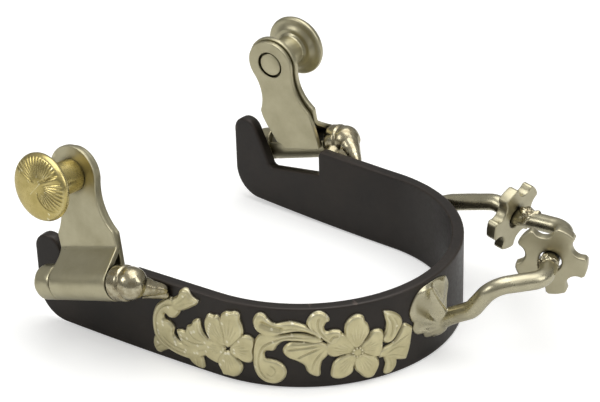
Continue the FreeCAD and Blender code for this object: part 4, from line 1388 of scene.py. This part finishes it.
def floor_material():
    """Pale matt floor, lifted towards white where the camera sees it directly."""
    paint = Paint("studio_floor")
    tone = paint.remap(paint.noise(6, 2), 0.3, 0.7, 0, 1)
    colour = paint.mix(tone, (0.80, 0.80, 0.79), (0.83, 0.83, 0.82))
    paint.set(Base_Color=colour, Roughness=0.8, Specular_IOR_Level=0.1, Emission_Color=(1.0, 1.0, 1.0))
    seen = paint.add("ShaderNodeLightPath").outputs["Is Camera Ray"]
    paint.link(paint.maths("MULTIPLY", seen, 0.42), paint.shader.inputs["Emission Strength"])
    return paint.material


def build_stage():
    low = cad_low.z - 0.0002
    mesh = bpy.data.meshes.new("floor")
    size = 3.0
    mesh.from_pydata([(-size, -size, low), (size, -size, low), (size, size, low), (-size, size, low)],
                     [], [(0, 1, 2, 3)])
    floor = bpy.data.objects.new("floor", mesh)
    bpy.context.scene.collection.objects.link(floor)
    mesh.materials.append(floor_material())


def area_light(name, place, aim, size, power, colour=(1, 1, 1)):
    lamp = bpy.data.lights.new(name, "AREA")
    lamp.shape = "RECTANGLE"
    lamp.size, lamp.size_y = size
    lamp.energy = power
    lamp.color = colour
    thing = bpy.data.objects.new(name, lamp)
    thing.location = place
    thing.rotation_mode = "QUATERNION"
    thing.rotation_quaternion = (Vector(aim) - Vector(place)).to_track_quat("-Z", "Y")
    bpy.context.scene.collection.objects.link(thing)
    return thing


def build_light():
    """Soft room light: grey at the horizon, lighter overhead, with three soft boxes."""
    world = bpy.data.worlds.new("studio")
    bpy.context.scene.world = world
    world.use_nodes = True
    tree = world.node_tree
    back = tree.nodes["Background"]
    place = tree.nodes.new("ShaderNodeTexCoord")
    split = tree.nodes.new("ShaderNodeSeparateXYZ")
    tree.links.new(place.outputs["Generated"], split.inputs["Vector"])
    ramp = tree.nodes.new("ShaderNodeValToRGB")
    ramp.color_ramp.elements[0].position = 0.0
    ramp.color_ramp.elements[0].color = (0.30, 0.295, 0.28, 1)
    ramp.color_ramp.elements[1].position = 0.9
    ramp.color_ramp.elements[1].color = (0.85, 0.85, 0.84, 1)
    tree.links.new(split.outputs["Z"], ramp.inputs["Fac"])
    tree.links.new(ramp.outputs["Color"], back.inputs["Color"])
    back.inputs["Strength"].default_value = WORLD_STRENGTH
    area_light("overhead", (0.05, 0.1, 0.6), (0, 0, 0), (0.7, 0.5), 2.2)
    area_light("key", (-0.35, -0.55, 0.45), (0, 0, 0), (0.3, 0.3), 0.9)
    area_light("side", (0.6, 0.1, 0.35), (0, 0, 0), (0.25, 0.4), 0.7)


def build_camera():
    """Camera at the measured viewing angle: azimuth, elevation, distance, roll."""
    azimuth, elevation, roll = math.radians(36.47), math.radians(27.15), math.radians(-1.68)
    target = Vector((-1.63, 0, 19.38)) * MM
    distance = 507.2 * MM
    back = Vector((math.sin(azimuth) * math.cos(elevation),
                   -math.cos(azimuth) * math.cos(elevation), math.sin(elevation)))
    camera = bpy.data.cameras.new("camera")
    camera.sensor_width = 36
    camera.lens = 115.8
    camera.clip_start = 0.01
    camera.clip_end = 20
    thing = bpy.data.objects.new("camera", camera)
    right = Vector((math.cos(azimuth), math.sin(azimuth), 0))
    up = back.cross(right)
    turned_right = right * math.cos(roll) + up * math.sin(roll)
    turned_up = up * math.cos(roll) - right * math.sin(roll)
    basis = Matrix((turned_right, turned_up, back)).transposed()
    thing.matrix_world = Matrix.Translation(target + back * distance) @ basis.to_4x4()
    bpy.context.scene.collection.objects.link(thing)
    bpy.context.scene.camera = thing


def build_spur():
    build_band()
    for side_name, side in SIDES:
        build_front_knuckle(side_name, side)
        build_rear_knuckle(side_name, side)
        dress_pin(side_name)
        build_outer_plate(side_name, side)
        build_inner_plate(side_name, side)
    build_button("near", NEAR, BRASS, True)
    build_button("far", FAR, NICKEL, False)
    build_shank()
    for name, (centre, axis, phase) in ROWELS.items():
        build_rowel(name, centre, axis, phase)
    build_bead("bar_bead", (63.3, 17.0, 12.1), (-0.36, 0.933, 0), (2.8, 2.8, 2.5))
    build_bead("leg_bead", (46.2, 37.3, 12.0), (-0.99, 0.08, 0.1), (2.5, 2.5, 3.3))
    build_overlay()


build_spur()
build_stage()
build_light()
build_camera()
bpy.context.scene.view_settings.view_transform = "Standard"
bpy.context.scene.view_settings.look = "None"
